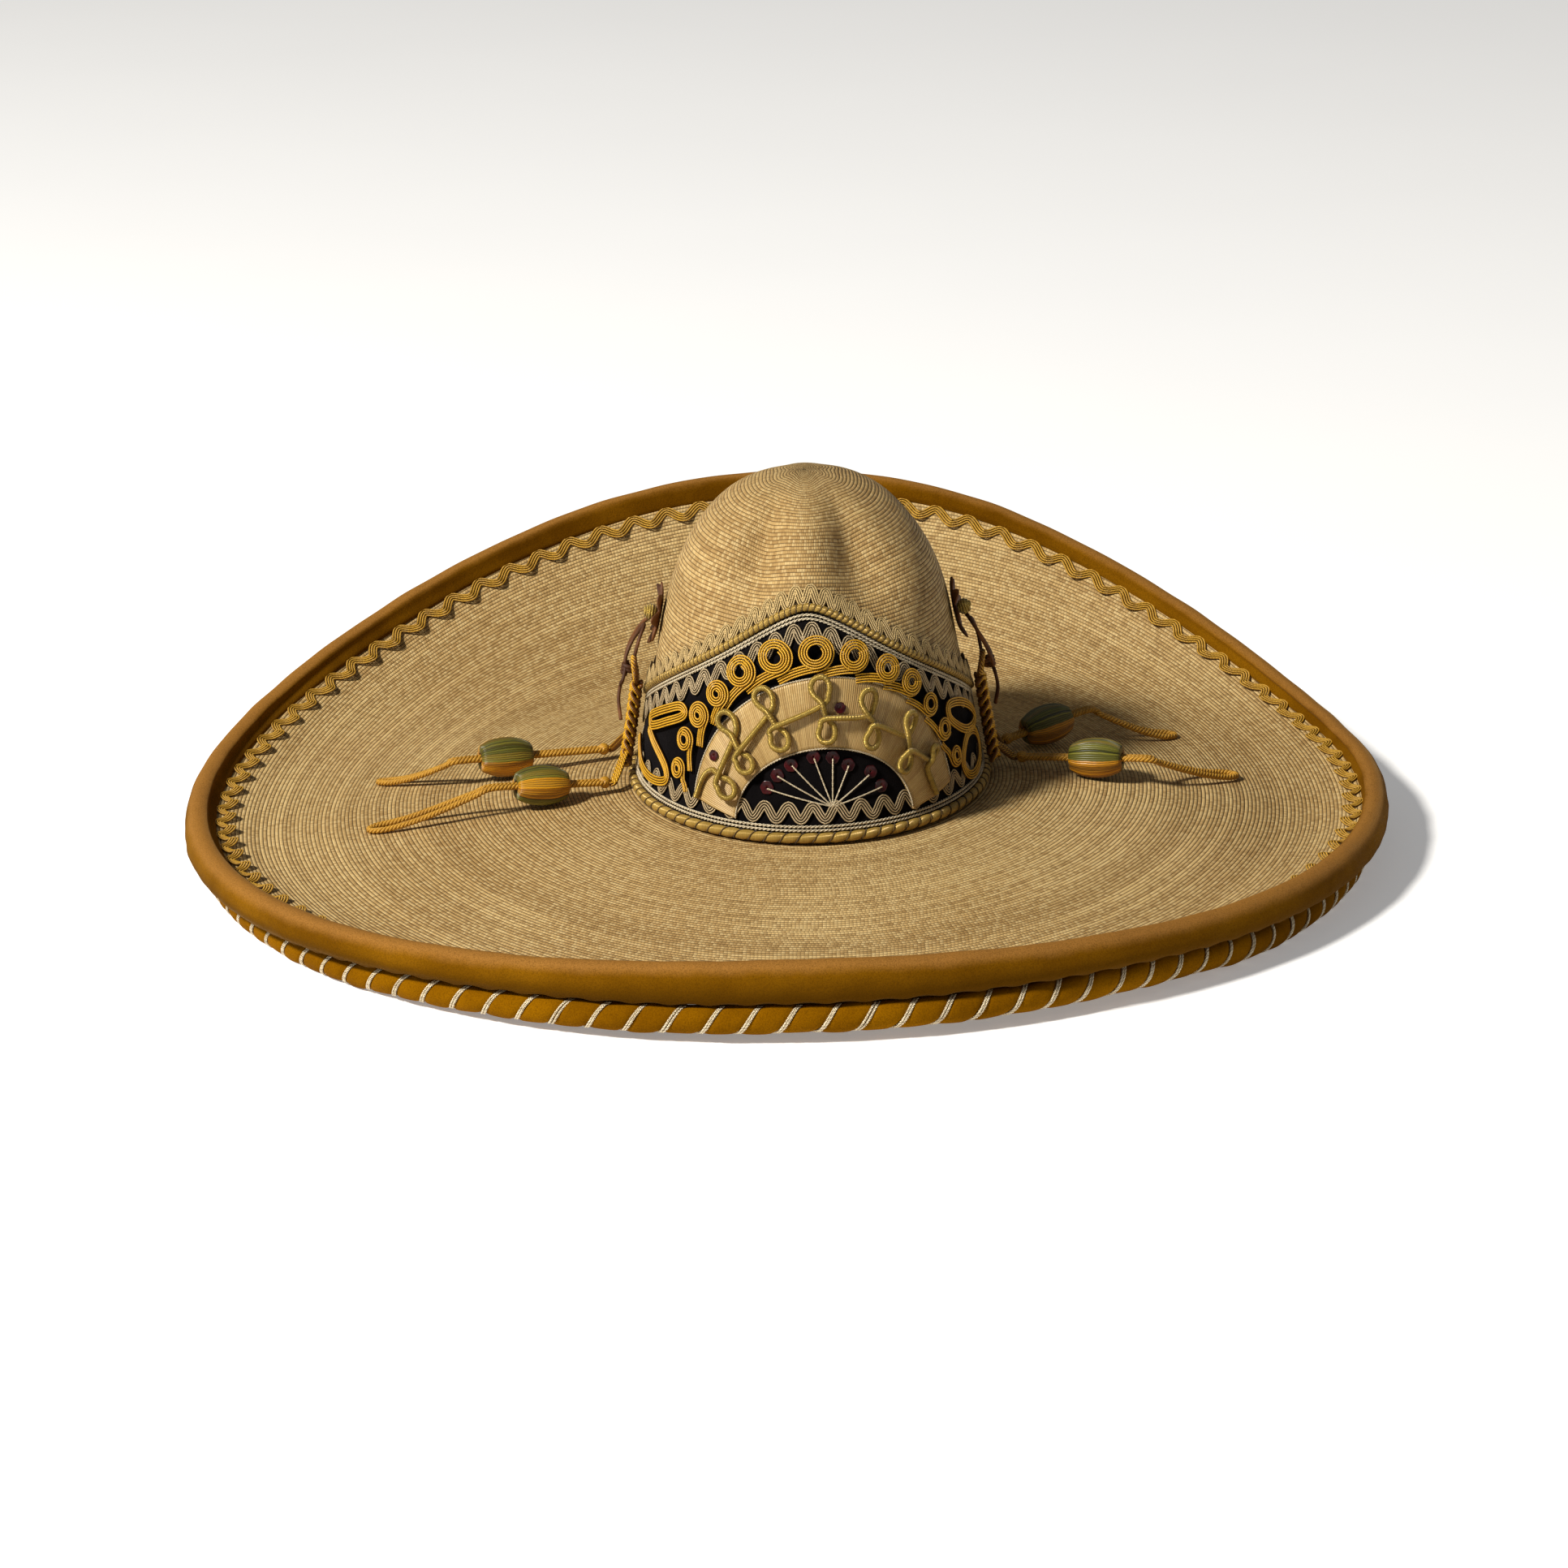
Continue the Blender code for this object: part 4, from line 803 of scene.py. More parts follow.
def lip_pieces():
    deg = np.arange(0.0, 360.0, 0.4)
    off = np.abs((deg + 180.0) % 360.0 - 180.0)
    squat = 1.0 - 0.34 * sm(off / 38.0)
    reach = inner_reach(deg)
    L = lambda o, z: lip(deg, np.full(deg.shape, o) if np.ndim(o) == 0 else o, z)
    R = lambda d, b: rim_in(deg, d + np.zeros(deg.shape), b + np.zeros(deg.shape))[0]
    rng = np.random.RandomState(5)
    ph = np.radians(deg)
    soft = sum(0.00022 * np.sin(k * ph + rng.uniform(0, 6)) for k in (11, 17, 23, 31, 43, 59)) * 0.35
    press = sum(0.00012 * np.sin(k * ph + rng.uniform(0, 6)) for k in (53, 71, 97)) * 0.7
    pucker = 0.0004 * np.cos(ph * STITCHES)
    # upper roll: from the facing, up over the edge, down the outside and back under the straw
    cols = [R(reach - 0.0002, -0.0004), R(reach, 0.0014), R(reach - 0.0010, 0.0026), R(reach * 0.66, 0.0034), R(reach * 0.36, 0.0045),
            L(-0.0044 + soft * 0.5, 0.0052 + soft), L(-0.0024 + soft * 0.4, 0.0064 + soft), L(0.0002, 0.0069 + soft), L(0.0028, 0.0063 + soft),
            L(0.0050 + soft * 0.5, 0.0048 + soft), L(0.0066 + soft, 0.0022), L(0.0074 + soft, -0.0012),
            L(0.0076 + soft + press, -0.0048 * squat), L(0.0071 + soft + press, -0.0080 * squat), L(0.0058 + press, -0.0106 * squat),
            L(0.0036 + pucker, -0.0124 * squat - pucker), L(0.0008, -0.0134 * squat), L(-0.0016, -0.0130 * squat), L(-0.0026, -0.0100 * squat),
            R(0.0024, -0.0034), R(reach * 0.7, -0.0026), R(reach * 0.9, -0.0014)]
    pts = np.stack(cols, 1)
    # round the section off
    m = pts.shape[1]
    fine = []
    for k in range(m):
        p0, p1, p2, p3 = (pts[:, (k + j) % m] for j in (-1, 0, 1, 2))
        for t in (0.0, 0.5):
            fine.append(0.5 * (2 * p1 + (p2 - p0) * t + (2 * p0 - 5 * p1 + 4 * p2 - p3) * t ** 2 + (3 * p1 - p0 - 3 * p2 + p3) * t ** 3))
    g = Geo()
    g.grid(np.stack(fine, 1), True)
    ob = g.make("velvet_roll", M_RIM, "hat", "rim_velvet", "rim_roll", "rim_facing")
    # lower roll, drawn in where each stitch crosses it on the slant
    a = np.linspace(0, 2 * PI, 29)[:-1]
    dd = np.arange(0.0, 360.0, 0.3)
    A, D = np.meshgrid(a, dd)
    lean = 0.36 * (A if False else np.where(A > PI, A - 2 * PI, A)) / (PI / 2)
    f = (D * STITCHES / 360.0 - lean) % 1.0
    f = np.minimum(f, 1.0 - f)
    outer = np.clip(np.cos(np.where(A > PI, A - 2 * PI, A)) + 0.55, 0, 1)
    dip = 0.0011 * np.exp(-(f / 0.10) ** 2) * outer
    puff = 0.0004 * (1 - np.exp(-(f / 0.22) ** 2)) * outer
    wob = 0.0002 * np.sin(np.radians(D) * 37 + A * 2) + 0.00015 * np.sin(np.radians(D) * 61 - A * 3)
    rad = LOW_R - dip + puff + wob
    pts = low_at(D, rad, A)
    pts[..., 2] = np.maximum(pts[..., 2], 0.00002)
    g = Geo()
    g.grid(pts, True)
    ob = g.make("low_velvet_roll", M_LOW, "hat", "rim_velvet", "overcast_roll")
    # the whipped stitches: two silver threads side by side, one continuous pair
    g = Geo()
    for k in range(STITCHES):
        for side in (-1, 1):
            t = np.linspace(1.75, -1.75, 15)
            base = (k + side * 0.036 + rng.uniform(-0.02, 0.02)) + 0.36 * t / (PI / 2)
            r = LOW_R - 0.0006 + 0.0005 * np.cos(t * 0.9) - 0.0008 * (np.abs(t) > 1.6)
            p = low_at(base * 360.0 / STITCHES, r, t)
            p[:, 2] = np.maximum(p[:, 2], 0.0005)
            c = low_at(base * 360.0 / STITCHES, 0.0 * r, t)
            q, up = even(p, unit(p - c), 0.00055)
            g.rope(q, up, 0.00070, 2, 0.0019, 5)
    g.make("whip_stitches", M_STITCH, "hat", "silver_thread", "overcast_thread")
    # gold ric-rac on the straw beside the roll, its inner scallops standing off
    n = WAVES * 14
    x = np.arange(n) / 14.0
    tri = 2 * np.abs((x % 1.0) * 2 - 1) - 1
    wv = 0.75 * np.sin(PI / 2 * tri) + 0.25 * tri
    d = inner_reach(x / WAVES * 360.0) + 0.0042 + 0.0032 * wv
    b = 0.0019 + 0.0022 * np.clip(wv, 0, 1) ** 1.5
    p, up = rim_in(x / WAVES * 360.0, d, b)
    p, up = even(p, up, 0.0009, True)
    g = Geo()
    g.strands(p, up, 4, 0.00128, 0.00054, 6, True, arch=0.0002)
    g.make("gold_ricrac", M_GOLD, "hat", "gold_braid", "rim_ricrac")


lip_pieces()


# ================================================================ hatband
def band_top(deg):
    a = np.abs((np.asarray(deg, float) + 180.0) % 360.0 - 180.0)
    return np.maximum(0.0415, 0.1062 - 0.00078 * (np.sqrt(a * a + 64.0) - 8.0))


def spread(p):
    """The area of a surface given as a grid of points."""
    a, b, c, d = p[:-1, :-1], p[1:, :-1], p[1:, 1:], p[:-1, 1:]
    return float((np.linalg.norm(np.cross(b - a, c - a), axis=-1) + np.linalg.norm(np.cross(c - a, d - a), axis=-1)).sum() / 2)


def band_pieces():
    phi = np.arange(0.0, 360.0, 1.0)
    k = np.linspace(0.0, 1.0, 40)
    h = 0.0030 + (band_top(phi)[:, None] - 0.0030) * k[None]
    dd = np.broadcast_to(phi[:, None], h.shape)
    outp, n = on_crown(dd, h, np.full(h.shape, 0.0013))
    inp, _ = on_crown(dd, h, np.full(h.shape, 0.0004))
    g = Geo()
    g.grid(np.concatenate([outp, inp[:, ::-1]], 1), True)
    velvet_band = g.make("black_velvet_band", M_BLACK, "hat", "black_velvet", "hatband_velvet")

    fine = np.arange(0.0, 360.0, 0.25)

    def ring(h, w, step):
        p, n = on_crown(fine, h, np.full(fine.shape, w))
        return even(p, n, step, True)

    def piping(name, h, w, r, pitch, node):
        p, up = ring(h, w, 0.00045)
        s = 0.00045 * np.arange(len(p))
        total = s[-1] + 0.00045
        turns = round(total / pitch)
        a = 2 * PI * np.arange(12) / 12
        f = (s[:, None] * turns / total - a[None] / (2 * PI) * 1.0) % 1.0
        f = np.minimum(f, 1.0 - f)
        rr = r * (1.02 - 0.20 * np.exp(-(f / 0.085) ** 2) + 0.05 * np.cos(2 * PI * f) * -1)
        g = Geo()
        g.tube(p, up, rr, 12, True)
        ob = g.make(name, M_PIPE, "hat", "gold_braid", node)
        # a thin thread laid in the grooves, its near-black colour painted shade for the grooves
        g = Geo()
        th = 2 * PI * s * turns / total
        t = unit(np.roll(p, -1, 0) - np.roll(p, 1, 0))
        side = unit(np.cross(t, up))
        v = np.cross(side, t)
        q = p + side * (np.cos(th) * r * 0.90)[:, None] + v * (np.sin(th) * r * 0.90)[:, None]
        g.tube(q, up, 0.00040, 4, True)
        g.make(name + "_wrap", M_WRAP_SHADE, "hat", "gold_braid")

    top = band_top(fine)
    piping("top_piping", top + 0.0018, 0.0024, 0.00185, 0.0029, "band_top_piping")
    piping("bottom_piping", np.full(fine.shape, 0.0022), 0.0031, 0.00235, 0.0078, "band_bottom_piping")

    def cords(name, hs, w, node):
        g = Geo()
        for h, r, plies in hs:
            p, up = ring(h, w, 0.0008)
            g.rope(p, up, r, plies, 0.0042, 5, True)
        g.make(name, M_WHITE, "hat", "white_cord", node)

    cords("white_cords_top", [(top - 0.0014, 0.00078, 2), (top - 0.0031, 0.00078, 2)], 0.0021, "band_top_soutache")
    cords("white_cords_bottom", [(np.full(fine.shape, 0.0056), 0.00080, 2), (np.full(fine.shape, 0.0074), 0.00080, 2)], 0.0021, "band_bottom_soutache")

    def ricrac(name, mat, slot, node, centre, amp, count, gap, r, w, waves, seed=0.0, rough=0.0):
        n = waves * 12
        x = np.arange(n) / 12.0
        deg = x / waves * 360.0
        wv = np.sin(2 * PI * x + seed)
        wob = rough * np.sin(5.3 * x) * np.sin(2.1 * x)
        p, up = on_crown(deg, centre(deg) + amp * wv + wob, np.full(n, w))
        p, up = even(p, up, 0.0008, True)
        g = Geo()
        g.strands(p, up, count, gap, r, 6, True, arch=0.0002)
        g.make(name, mat, "hat", slot, node)

    ricrac("beige_scallops", M_BEIGE, "pale_gold_braid", "band_scallop_trim", lambda d: band_top(d) + 0.0066, 0.0034, 4, 0.00110, 0.00049, 0.0030, 60)
    ricrac("silver_ricrac_top", M_SILVER, "silver_thread", "band_top_ricrac", lambda d: band_top(d) - 0.0094, 0.0035, 4, 0.00122, 0.00047, 0.0022, 50)
    ricrac("silver_ricrac_bottom", M_SILVER, "silver_thread", "band_bottom_ricrac", lambda d: 0.0138 + 0 * d, 0.0034, 4, 0.00122, 0.00047, 0.0022, 46, 1.0)


# painted shade: the wrap thread's dark colours stand in for the shade in the piping's grooves
M_WRAP_SHADE = thread("wrap_thread_groove_shade", lin(104, 76, 22), lin(44, 28, 6), 0.5, 1.0, 0.5, 0.2)
band_pieces()


# ================================================================ arch, meander and rings
ARCH_OUT = (6.0, 0.0150, 46.5, 0.0620)
ARCH_IN = (5.0, 0.0090, 29.5, 0.0350)
HUB = (7.1, 0.0165)


def arch_panel():
    nt, nr = 150, 16
    th = np.linspace(PI, 0.0, nt)
    r = np.linspace(0.0, 1.0, nr)
    cin = np.stack([ARCH_IN[0] + ARCH_IN[2] * np.cos(th), ARCH_IN[1] + ARCH_IN[3] * np.sin(th)], 1)
    cout = np.stack([ARCH_OUT[0] + ARCH_OUT[2] * np.cos(th), ARCH_OUT[1] + ARCH_OUT[3] * np.sin(th)], 1)
    dh = cin[:, None] + (cout - cin)[:, None] * r[None, :, None]
    puff = 0.0006 * np.sin(PI * r)[None] * np.ones((nt, 1))
    up, n = on_crown(dh[..., 0], dh[..., 1], 0.0030 + puff)
    low, _ = on_crown(dh[..., 0], dh[..., 1], 0.0016 + 0 * puff)
    pts = np.concatenate([up, low[:, ::-1]], 1)
    mid = up[:, nr // 2]
    u = np.concatenate([[0.0], np.cumsum(np.linalg.norm(np.diff(mid, axis=0), axis=1))]) * 1000.0
    uv = np.zeros((nt, 2 * nr + 1, 2))
    uv[..., 0] = u[:, None]
    uv[..., 1] = np.concatenate([r, r[::-1], r[:1]])[None]
    g = Geo()
    g.grid(pts, False, uv=uv)
    arch = g.make("satin_arch", M_SATIN, "hat", "cream_satin", "arch_panel")
    # corded edge
    g = Geo()
    for c in (cin, cout):
        a = np.column_stack([c, np.full(len(c), 0.0031)])
        p, up2 = crown_line(a[::3], step=0.0008, per=6)
        g.rope(p, up2, 0.00055, 2, 0.0030, 4)
    g.make("satin_arch_edge", M_WHITE, "hat", "white_cord")


arch_panel()


def step_on(deg, h, dx, dy, k):
    return deg + dx / k, h + dy


def meander():
    """One thick cord that loops up and down along the arch."""
    loops = [("d", -26.8, 0.0225, 0.0042), ("u", -28.2, 0.0545, 0.0042), ("d", -20.9, 0.0355, 0.0038), ("u", -15.3, 0.0675, 0.0042),
             ("d", -9.6, 0.0480, 0.0042), ("u", 3.9, 0.0725, 0.0046), ("d", 5.6, 0.0515, 0.0042), ("u", 20.2, 0.0650, 0.0044),
             ("d", 20.6, 0.0465, 0.0040), ("u", 35.2, 0.0510, 0.0040), ("d", 31.7, 0.0320, 0.0040), ("u", 43.8, 0.0335, 0.0026)]
    rows = [(-38.9, 0.0150, 0), (-36.5, 0.0255, 0), (-33.2, 0.0300, 0)]
    for kind, deg, h, r in loops:
        k = mpd(deg, h)
        ax, ay = (deg - HUB[0]) * k, h - HUB[1]
        ln = math.hypot(ax, ay)
        ax, ay = (ax / ln, ay / ln) if kind == "u" else (-ax / ln, -ay / ln)
        mix = 0.55
        ax, ay = ax * mix, ay * mix + (1 - mix) * (1 if kind == "u" else -1)
        ln = math.hypot(ax, ay)
        ax, ay = ax / ln, ay / ln
        # the tip lies along (ax, ay); across is to the right of it for an upper loop
        cx, cy = (ay, -ax) if kind == "u" else (-ay, ax)
        shape = [(0.10, -1.75, 0.0), (0.80, -0.65, 0.1), (0.88, 0.20, 0.3), (0.55, 0.85, 0.6), (0.0, 1.05, 0.8), (-0.60, 0.80, 0.9),
                 (-0.90, 0.15, 1.0), (-0.70, -0.65, 1.0), (0.02, -1.60, 1.0)]
        for q, (x, y, w) in enumerate(shape):
            X, Y = (cx * x + ax * y) * r, (cy * x + ay * y) * r
            d2, h2 = step_on(deg, h, X, Y, k)
            rows.append((d2, h2, w))
    rows += [(40.8, 0.0265, 0.2), (42.0, 0.0200, 0.0), (43.6, 0.0128, 0.0)]
    rows = [(d, h, 0.0050 + 0.0026 * w) for d, h, w in rows]
    p, up = crown_line(rows, step=0.0005, per=8)
    s = np.arange(len(p)) * 0.0005
    a = 2 * PI * np.arange(9) / 9
    f = (s[:, None] / 0.0016 - a[None] / (2 * PI)) % 1.0
    rr = 0.00148 * (1.0 - 0.07 * np.cos(2 * PI * f))
    g = Geo()
    g.tube(p, up, rr, 9)
    g.make("olive_gold_meander", M_OLIVE, "hat", "olive_cord", "arch_gold_cord")


meander()


def coils():
    """Rings of flat yellow braid, each spun out of a tail that runs under the ring before it."""
    rings = [(-48.2, 0.0255, 0.0056, 3), (-45.8, 0.0405, 0.0064, 3), (-40.4, 0.0540, 0.0070, 4), (-33.2, 0.0660, 0.0070, 4),
             (-24.5, 0.0778, 0.0082, 4), (-11.9, 0.0857, 0.0088, 4), (2.7, 0.0879, 0.0088, 4), (16.6, 0.0850, 0.0080, 4),
             (29.0, 0.0772, 0.0074, 4), (38.2, 0.0685, 0.0072, 4), (45.6, 0.0555, 0.0064, 3), (51.2, 0.0412, 0.0062, 3), (55.6, 0.0258, 0.0058, 3)]
    g = Geo()
    gap, r0 = 0.00124, 0.00048
    for k, (deg, h, rad, count) in enumerate(rings):
        m = mpd(deg, h)
        nx, ny = (deg - 6.0) * m, h - 0.012
        ln = math.hypot(nx, ny)
        nx, ny = nx / ln, ny / ln
        tx, ty = ny, -nx                     # along the chain, to the right
        wide = (count - 1) * gap / 2 + r0
        big = rad - wide
        small = big * 0.72
        rows = []
        turns = 1.35
        steps = int(turns * 14)
        base = 0.0047 if k > 0 else 0.0042
        for q in range(steps + 1):
            t = q / steps
            a = -PI / 2 + (1 - t) * turns * 2 * PI
            rr = small + (big - small) * t ** 0.9
            x, y = rr * math.cos(a), rr * math.sin(a) * 0.97
            rows.append((x, y, base + 0.0012 * (1 - t)))
        reach = 1.9 if rad > 0.006 else 1.6
        rows += [(-0.55 * big, -1.04 * big, base - 0.0002), (-1.15 * big, -1.16 * big, base - 0.0006), (-reach * big, -1.40 * big, base - 0.0012), (-(reach + 0.8) * big, -1.78 * big, base - 0.0016)]
        path = []
        for x, y, w in rows:
            X, Y = tx * x + nx * y, ty * x + ny * y
            d2, h2 = step_on(deg, h, X, Y, m)
            path.append((d2, h2, w))
        p, up = crown_line(path, step=0.0007, per=4)
        g.strands(p, up, count, gap, r0, 6, arch=0.00025)
    g.make("yellow_braid_rings", M_YELLOW, "hat", "yellow_cord", "scroll_braid")


coils()


def side_loops():
    loops = {
        "side_loop_left_upper": ([(-66.0, 0.0450), (-58.0, 0.0505), (-51.0, 0.0545), (-48.0, 0.0528), (-50.0, 0.0495), (-58.0, 0.0440),
                                  (-65.0, 0.0392), (-69.5, 0.0372), (-70.5, 0.0410)], True),
        "side_loop_left_lower": ([(-71.0, 0.0345), (-66.0, 0.0310), (-59.0, 0.0262), (-55.0, 0.0215), (-54.6, 0.0170), (-59.0, 0.0142),
                                  (-66.0, 0.0132), (-74.0, 0.0150), (-80.0, 0.0200), (-83.0, 0.0245)], False),
        "side_loop_right_upper": ([(57.0, 0.0500), (63.0, 0.0492), (70.0, 0.0450), (76.0, 0.0395), (79.0, 0.0340), (74.0, 0.0318),
                                   (67.0, 0.0335), (60.5, 0.0388), (56.5, 0.0445)], True),
        "side_loop_right_lower": ([(66.5, 0.0300), (62.5, 0.0245), (61.0, 0.0180), (63.5, 0.0125), (69.0, 0.0108), (75.5, 0.0140),
                                   (78.5, 0.0205), (76.5, 0.0270), (71.5, 0.0305)], True),
    }
    for name, (rows, closed) in loops.items():
        p, up = crown_line([(d, h, 0.0036) for d, h in rows], closed, 0.0008, 8)
        g = Geo()
        g.strands(p, up, 4, 0.00122, 0.00053, 6, closed, arch=0.00025)
        g.make("braid_" + name, M_YELLOW, "hat", "yellow_cord", name)


side_loops()


def fan():
    tips = [(-14.2, 0.0247), (-10.9, 0.0310), (-6.0, 0.0361), (1.4, 0.0396), (7.7, 0.0390), (13.0, 0.0350), (19.8, 0.0294), (24.2, 0.0229)]
    g = Geo()
    for d, h in tips:
        rows = [(HUB[0], HUB[1], 0.0024), (HUB[0] + (d - HUB[0]) * 0.5, HUB[1] + (h - HUB[1]) * 0.5, 0.0022), (d, h, 0.0024)]
        p, up = crown_line(rows, step=0.0008, per=12)
        g.rope(p, up, 0.00052, 2, 0.0022, 5)
    g.make("silver_spokes", M_STITCH, "hat", "silver_thread", "fan_spokes")
    spots = [("fan_sequin_%d" % (k + 1), d, h, 0.0033, 0.0017) for k, (d, h) in enumerate(
        [(-14.4, 0.0252), (-11.0, 0.0312), (-6.4, 0.0364), (1.2, 0.0402), (7.7, 0.0396), (12.9, 0.0354), (20.6, 0.0308), (24.0, 0.0234)])]
    spots += [("arch_sequin_left", -33.4, 0.0368, 0.0027, 0.0040), ("arch_sequin_right", 10.6, 0.0626, 0.0028, 0.0042)]
    for name, d, h, r, w in spots:
        (c,), (n,) = on_crown(np.array([d]), np.array([h]), np.array([w]))
        a = unit(np.cross([0, 0, 1.0], n))
        b = np.cross(n, a)
        t = 2 * PI * np.arange(28) / 28
        prof = [(0.12, 0.00020), (0.16, 0.00034), (0.5, 0.00030), (0.82, 0.00042), (0.97, 0.00050), (1.0, 0.00038), (0.96, 0.00020),
                (0.5, 0.00004), (0.12, 0.0)]
        pts = np.stack([c + n * z + (a * np.cos(t)[:, None] + b * np.sin(t)[:, None]) * (r * k * (1 + (0.04 * np.cos(6 * t)[:, None] if k > 0.9 else 0.0)))
                        for k, z in prof], 1)
        g = Geo()
        g.grid(pts, True)
        g.make("disc_" + name, M_SEQUIN, "hat", "red_sequin", name)


fan()


def knots():
    """Plaited yellow cord at each side of the band, with a loose loop at its top."""
    for tag, sgn in (("left", -1.0), ("right", 1.0)):
        g = Geo()
        dk = 86.0 * sgn
        hs = np.linspace(0.0500, 0.0075, 260)
        turn = (0.0500 - hs) / 0.0150
        for j in range(3):
            ph = 2 * PI * (turn + j / 3.0)
            p, n = on_crown(dk + 2.1 * np.sin(ph), hs, 0.0082 + 0.0021 * np.sin(2 * ph))
            p, up = even(p, n, 0.0006)
            g.strands(p, up, 2, 0.0022, 0.0012, 7, arch=0.0)
        # the loop above the plait
        rows = [(dk, 0.0480, 0.0080), (dk + 2.6, 0.0535, 0.0095), (dk + 2.4, 0.0590, 0.0110), (dk, 0.0615, 0.0112),
                (dk - 2.6, 0.0585, 0.0105), (dk - 2.6, 0.0530, 0.0088), (dk, 0.0475, 0.0080)]
        p, up = crown_line(rows, step=0.0007, per=8)
        g.rope(p, up, 0.0016, 3, 0.0055, 6)
        # the cords run out level from the foot of the plait to the pendants
        for spec in PENDANTS:
            if (spec[1][0] > 0) != (sgn > 0):
                continue
            S, B, u, route = pendant(spec)
            S, u = np.array(S), np.array(u)
            (c,), (n,) = on_crown(np.array([dk]), np.array([0.0165 if "front" in spec[0] else 0.0240]), np.array([0.0080]))
            side = np.cross([0, 0, 1.0], u)
            side /= np.linalg.norm(side)
            for off in (-0.0016, 0.0016):
                a = np.array([c, c * 0.6 + (S - u * 0.004) * 0.4 + side * off, S - u * 0.0045 + side * off, S - u * 0.0018 + side * off * 0.8])
                p = catmull(a, False, 12)
                p, up = even(p, np.tile([0.0, 0.0, 1.0], (len(p), 1)), 0.0008)
                g.rope(p, up, 0.0014, 3, 0.006, 6)
        g.make("plaited_knot_" + tag, M_YELLOW, "hat", "yellow_cord", "side_knot_" + tag)


knots()


def leathers():
    for tag, sgn in (("left", -1.0), ("right", 1.0)):
        deg = 91.0 * sgn
        (c,), (n,) = on_crown(np.array([deg]), np.array([0.0830]), np.array([0.0010]))
        a = unit(np.cross([0, 0, 1.0], n))
        b = np.cross(n, a)
        t = 2 * PI * np.arange(96) / 96
        lobes = 0.5 + 0.5 * np.cos(8 * t)
        rad = 0.0112 + 0.0050 * lobes ** 0.7
        curl = 0.0008 + 0.0034 * lobes * (0.6 + 0.4 * np.sin(3 * t + 1.0))
        rows = [(0.10, 0.0012, 0.0), (0.55, 0.0012, 0.3), (0.85, 0.0013, 0.8), (1.0, 0.0010, 1.0), (0.99, 0.0002, 1.0), (0.85, -0.0002, 0.8), (0.55, -0.0003, 0.3), (0.10, -0.0003, 0.0)]
        pts = np.stack([c + n * (z + curl * q * 0.9)[:, None] + (a * np.cos(t)[:, None] + b * np.sin(t)[:, None]) * (rad * k)[:, None]
                        for k, z, q in rows], 1)
        g = Geo()
        g.grid(pts, True)
        g.make("leather_cutout_" + tag, M_LEATHER, "hat", "brown_leather", "leather_flower_" + tag)
        # the knot that gathers the lace's loops
        (c2,), (n2,) = on_crown(np.array([deg + 0.5]), np.array([0.0535]), np.array([0.0130]))
        w2 = np.linspace(0, 2 * PI * 2.5, 90)
        q = c2 + a * (0.0026 * np.cos(w2))[:, None] + b * ((w2 / (5 * PI) - 0.5) * 0.0046)[:, None] + n2 * (0.0026 * np.sin(w2))[:, None]
        g = Geo()
        g.tube(q, np.tile(b, (len(q), 1)), 0.0012, 6)
        knot = g.make("lace_knot_" + tag, M_LEATHER, "hat", "brown_leather")
        # the lace bead: cord wound round itself
        (c,), (n,) = on_crown(np.array([deg]), np.array([0.0830]), np.array([0.0062]))
        g = Geo()
        s = np.linspace(0, 1, 150)
        th = s * 2 * PI * 5.5
        rr = 0.0034 * np.sin(PI * (0.12 + 0.76 * s))
        p = c + n * ((s - 0.5) * 0.0062)[:, None] + a * (rr * np.cos(th))[:, None] + b * (rr * np.sin(th))[:, None]
        g.tube(p, np.tile(n, (len(p), 1)), 0.00085, 6)
        bead = g.make("wound_lace_bead_" + tag, M_OLIVE, "hat", "olive_cord", "lace_bead_" + tag)
        lace = [(deg, 0.0800, 0.0062), (deg - 3.0, 0.0765, 0.0085), (deg - 6.0, 0.0695, 0.0120), (deg - 7.0, 0.0610, 0.0150), (deg - 4.0, 0.0540, 0.0150),
                (deg, 0.0525, 0.0122), (deg + 3.2, 0.0560, 0.0108), (deg + 5.2, 0.0640, 0.0108), (deg + 4.2, 0.0720, 0.0096), (deg + 1.0, 0.0762, 0.0082),
                (deg - 2.0, 0.0735, 0.0094), (deg - 3.2, 0.0660, 0.0128), (deg - 1.0, 0.0580, 0.0150), (deg + 2.0, 0.0530, 0.0145), (deg + 3.6, 0.0485, 0.0152),
                (deg + 1.6, 0.0450, 0.0158), (deg + 2.6, 0.0380, 0.0158), (deg + 4.6, 0.0290, 0.0135)]
        p, up = crown_line(lace, step=0.0009, per=8)
        g = Geo()
        g.tube(p, up, 0.0013, 6, flat=0.75)
        ob = g.make("lace_" + tag, M_LEATHER, "hat", "brown_leather", "leather_lace_" + tag)


leathers()


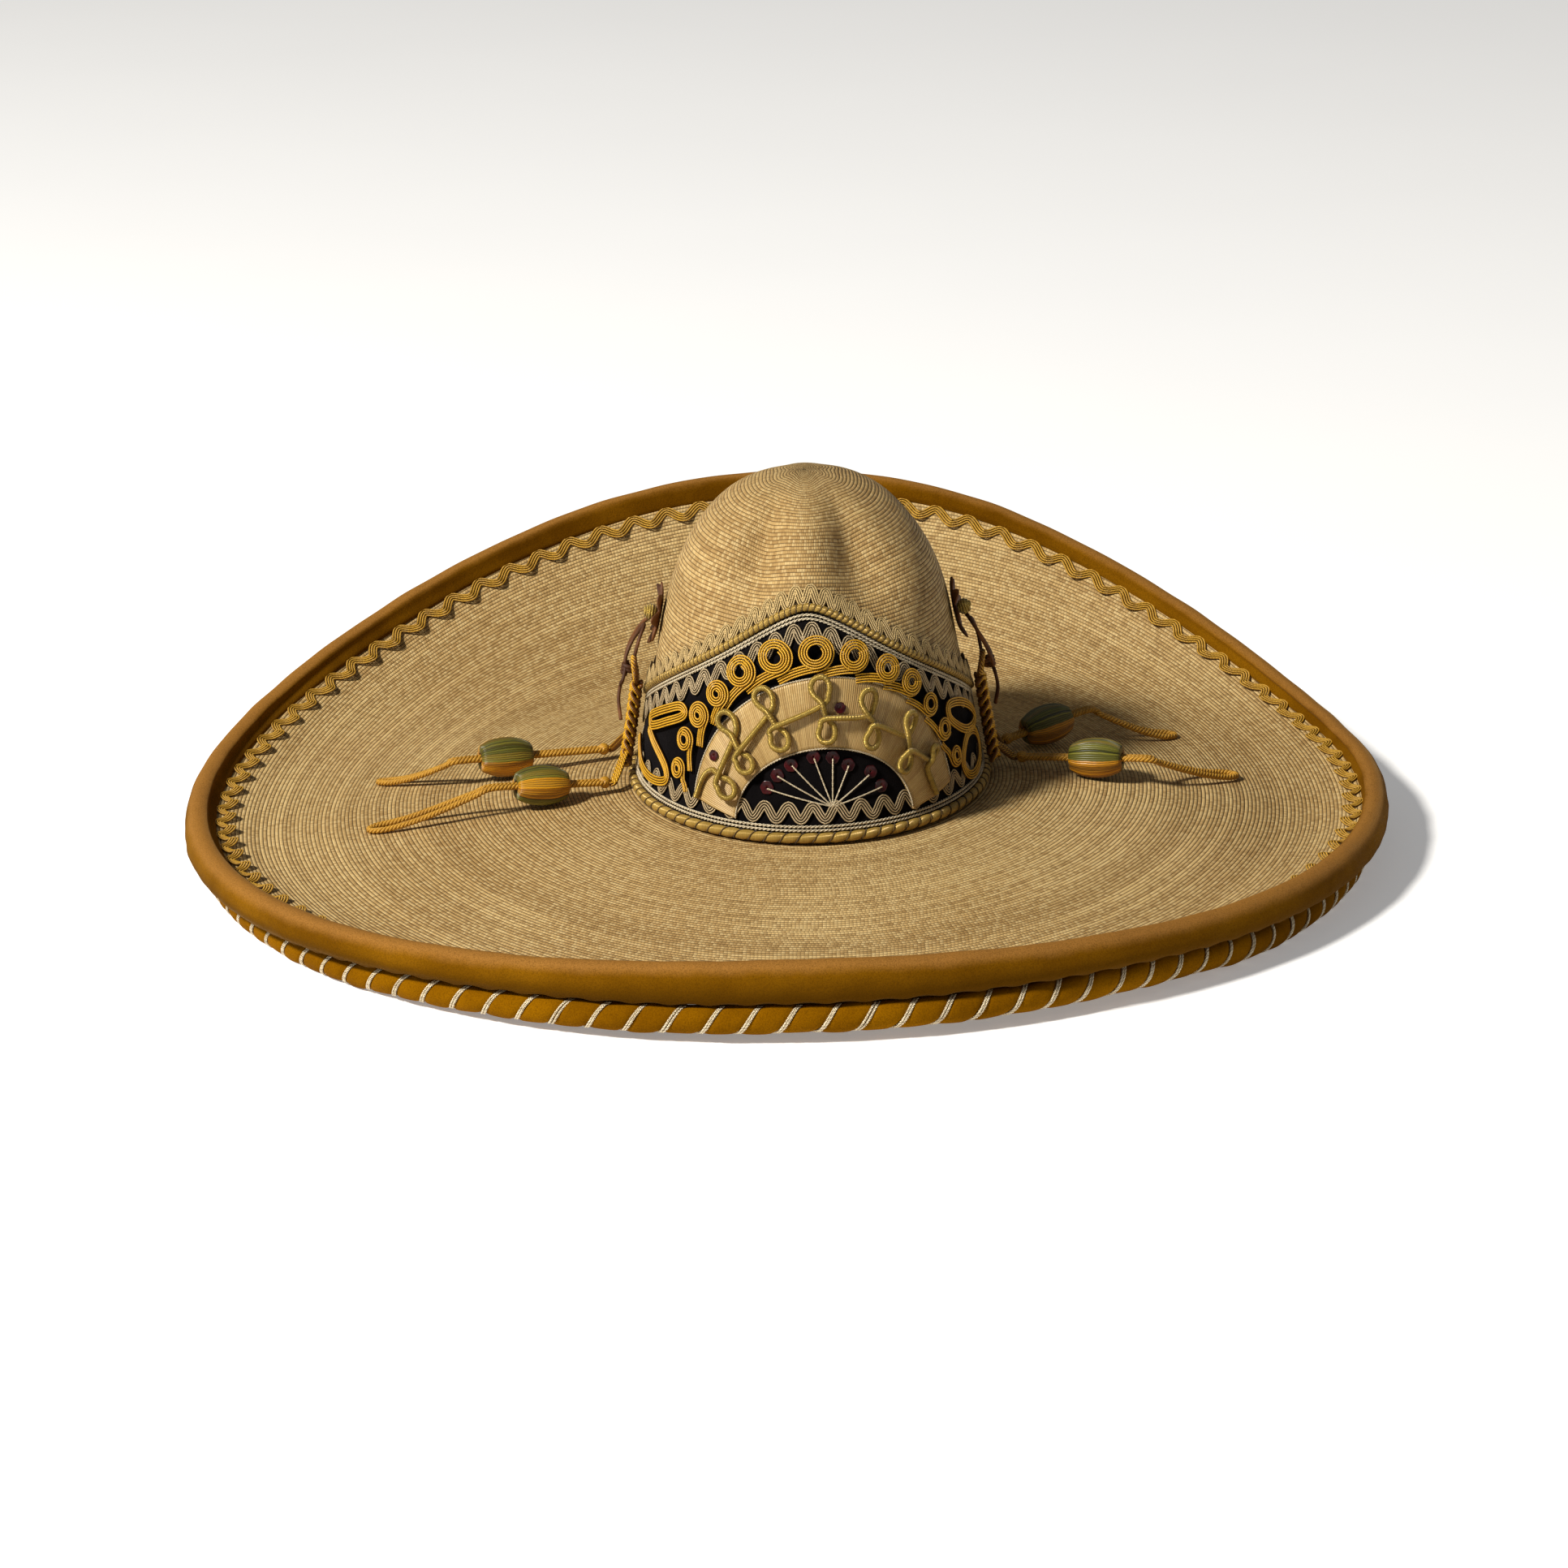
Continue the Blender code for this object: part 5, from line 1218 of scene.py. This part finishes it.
def sweatband():
    phi = np.arange(0.0, 360.0, 1.5)
    h = np.linspace(0.0012, 0.0345, 14)
    D, H = np.meshgrid(phi, h, indexing="ij")
    outer, _ = on_crown(D, H, np.full(D.shape, -0.0024))
    inner, _ = on_crown(D, H, np.full(D.shape, -0.0036) - 0.0002 * np.sin(PI * (H - 0.0012) / 0.0333))
    g = Geo()
    g.grid(np.concatenate([outer, inner[:, ::-1]], 1), True)
    g.make("sweat_leather_band", M_SWEAT, "hat", "sweat_leather", "sweatband")
    g = Geo()
    for k in range(150):
        d = np.linspace(k * 2.4, k * 2.4 + 1.5, 5)
        for hh in (0.0035, 0.0322):
            p, n = on_crown(d, np.full(5, hh), np.full(5, -0.0038) + 0.0004 * np.abs(np.linspace(-1, 1, 5)) ** 3)
            g.tube(p, -n, 0.00028, 4)
    g.make("sweatband_stitches", M_WHITE, "hat", "sweat_leather")


sweatband()

# the wire inside the lip stays the CAD piece, in drawn steel
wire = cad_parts.get("rim_wire")
if wire is not None:
    for slot in wire.material_slots:
        slot.material = M_WIRE


# ================================================================ room
def room():
    me = bpy.data.meshes.new("floor")
    me.from_pydata([(-14, -6, 0), (14, -6, 0), (14, 22, 0), (-14, 22, 0)], [], [(0, 1, 2, 3)])
    m = Mat("floor_white", 0.85, spec=0.2)
    a = m.noise(3.0, 2.0)
    m.b.inputs["Emission Color"].default_value = (1.0, 1.0, 1.0, 1.0)
    m.b.inputs["Emission Strength"].default_value = 0.24
    me.materials.append(m.finish(m.mix(a, lin(250, 250, 250), lin(254, 254, 254))))
    fl = bpy.data.objects.new("floor", me)
    fl.location.z = -0.0001
    bpy.context.collection.objects.link(fl)

    def area(name, loc, at, size, power, colour=(1, 1, 1)):
        d = bpy.data.lights.new(name, "AREA")
        d.shape, d.size, d.energy, d.color = "DISK", size, power, colour
        o = bpy.data.objects.new(name, d)
        bpy.context.collection.objects.link(o)
        o.location = loc
        o.rotation_euler = (Vector(at) - Vector(loc)).to_track_quat("-Z", "Y").to_euler()

    area("key", (-3.05, -2.25, 3.55), (0, 0, 0.03), 0.75, 378.0, (1.0, 0.965, 0.90))
    w = bpy.data.worlds.new("room")
    bpy.context.scene.world = w
    w.use_nodes = True
    bg = w.node_tree.nodes["Background"]
    bg.inputs["Color"].default_value = (1.0, 1.0, 1.0, 1.0)
    bg.inputs["Strength"].default_value = 0.12
    bpy.context.scene.view_settings.view_transform = "Standard"


room()
bpy.context.view_layer.update()
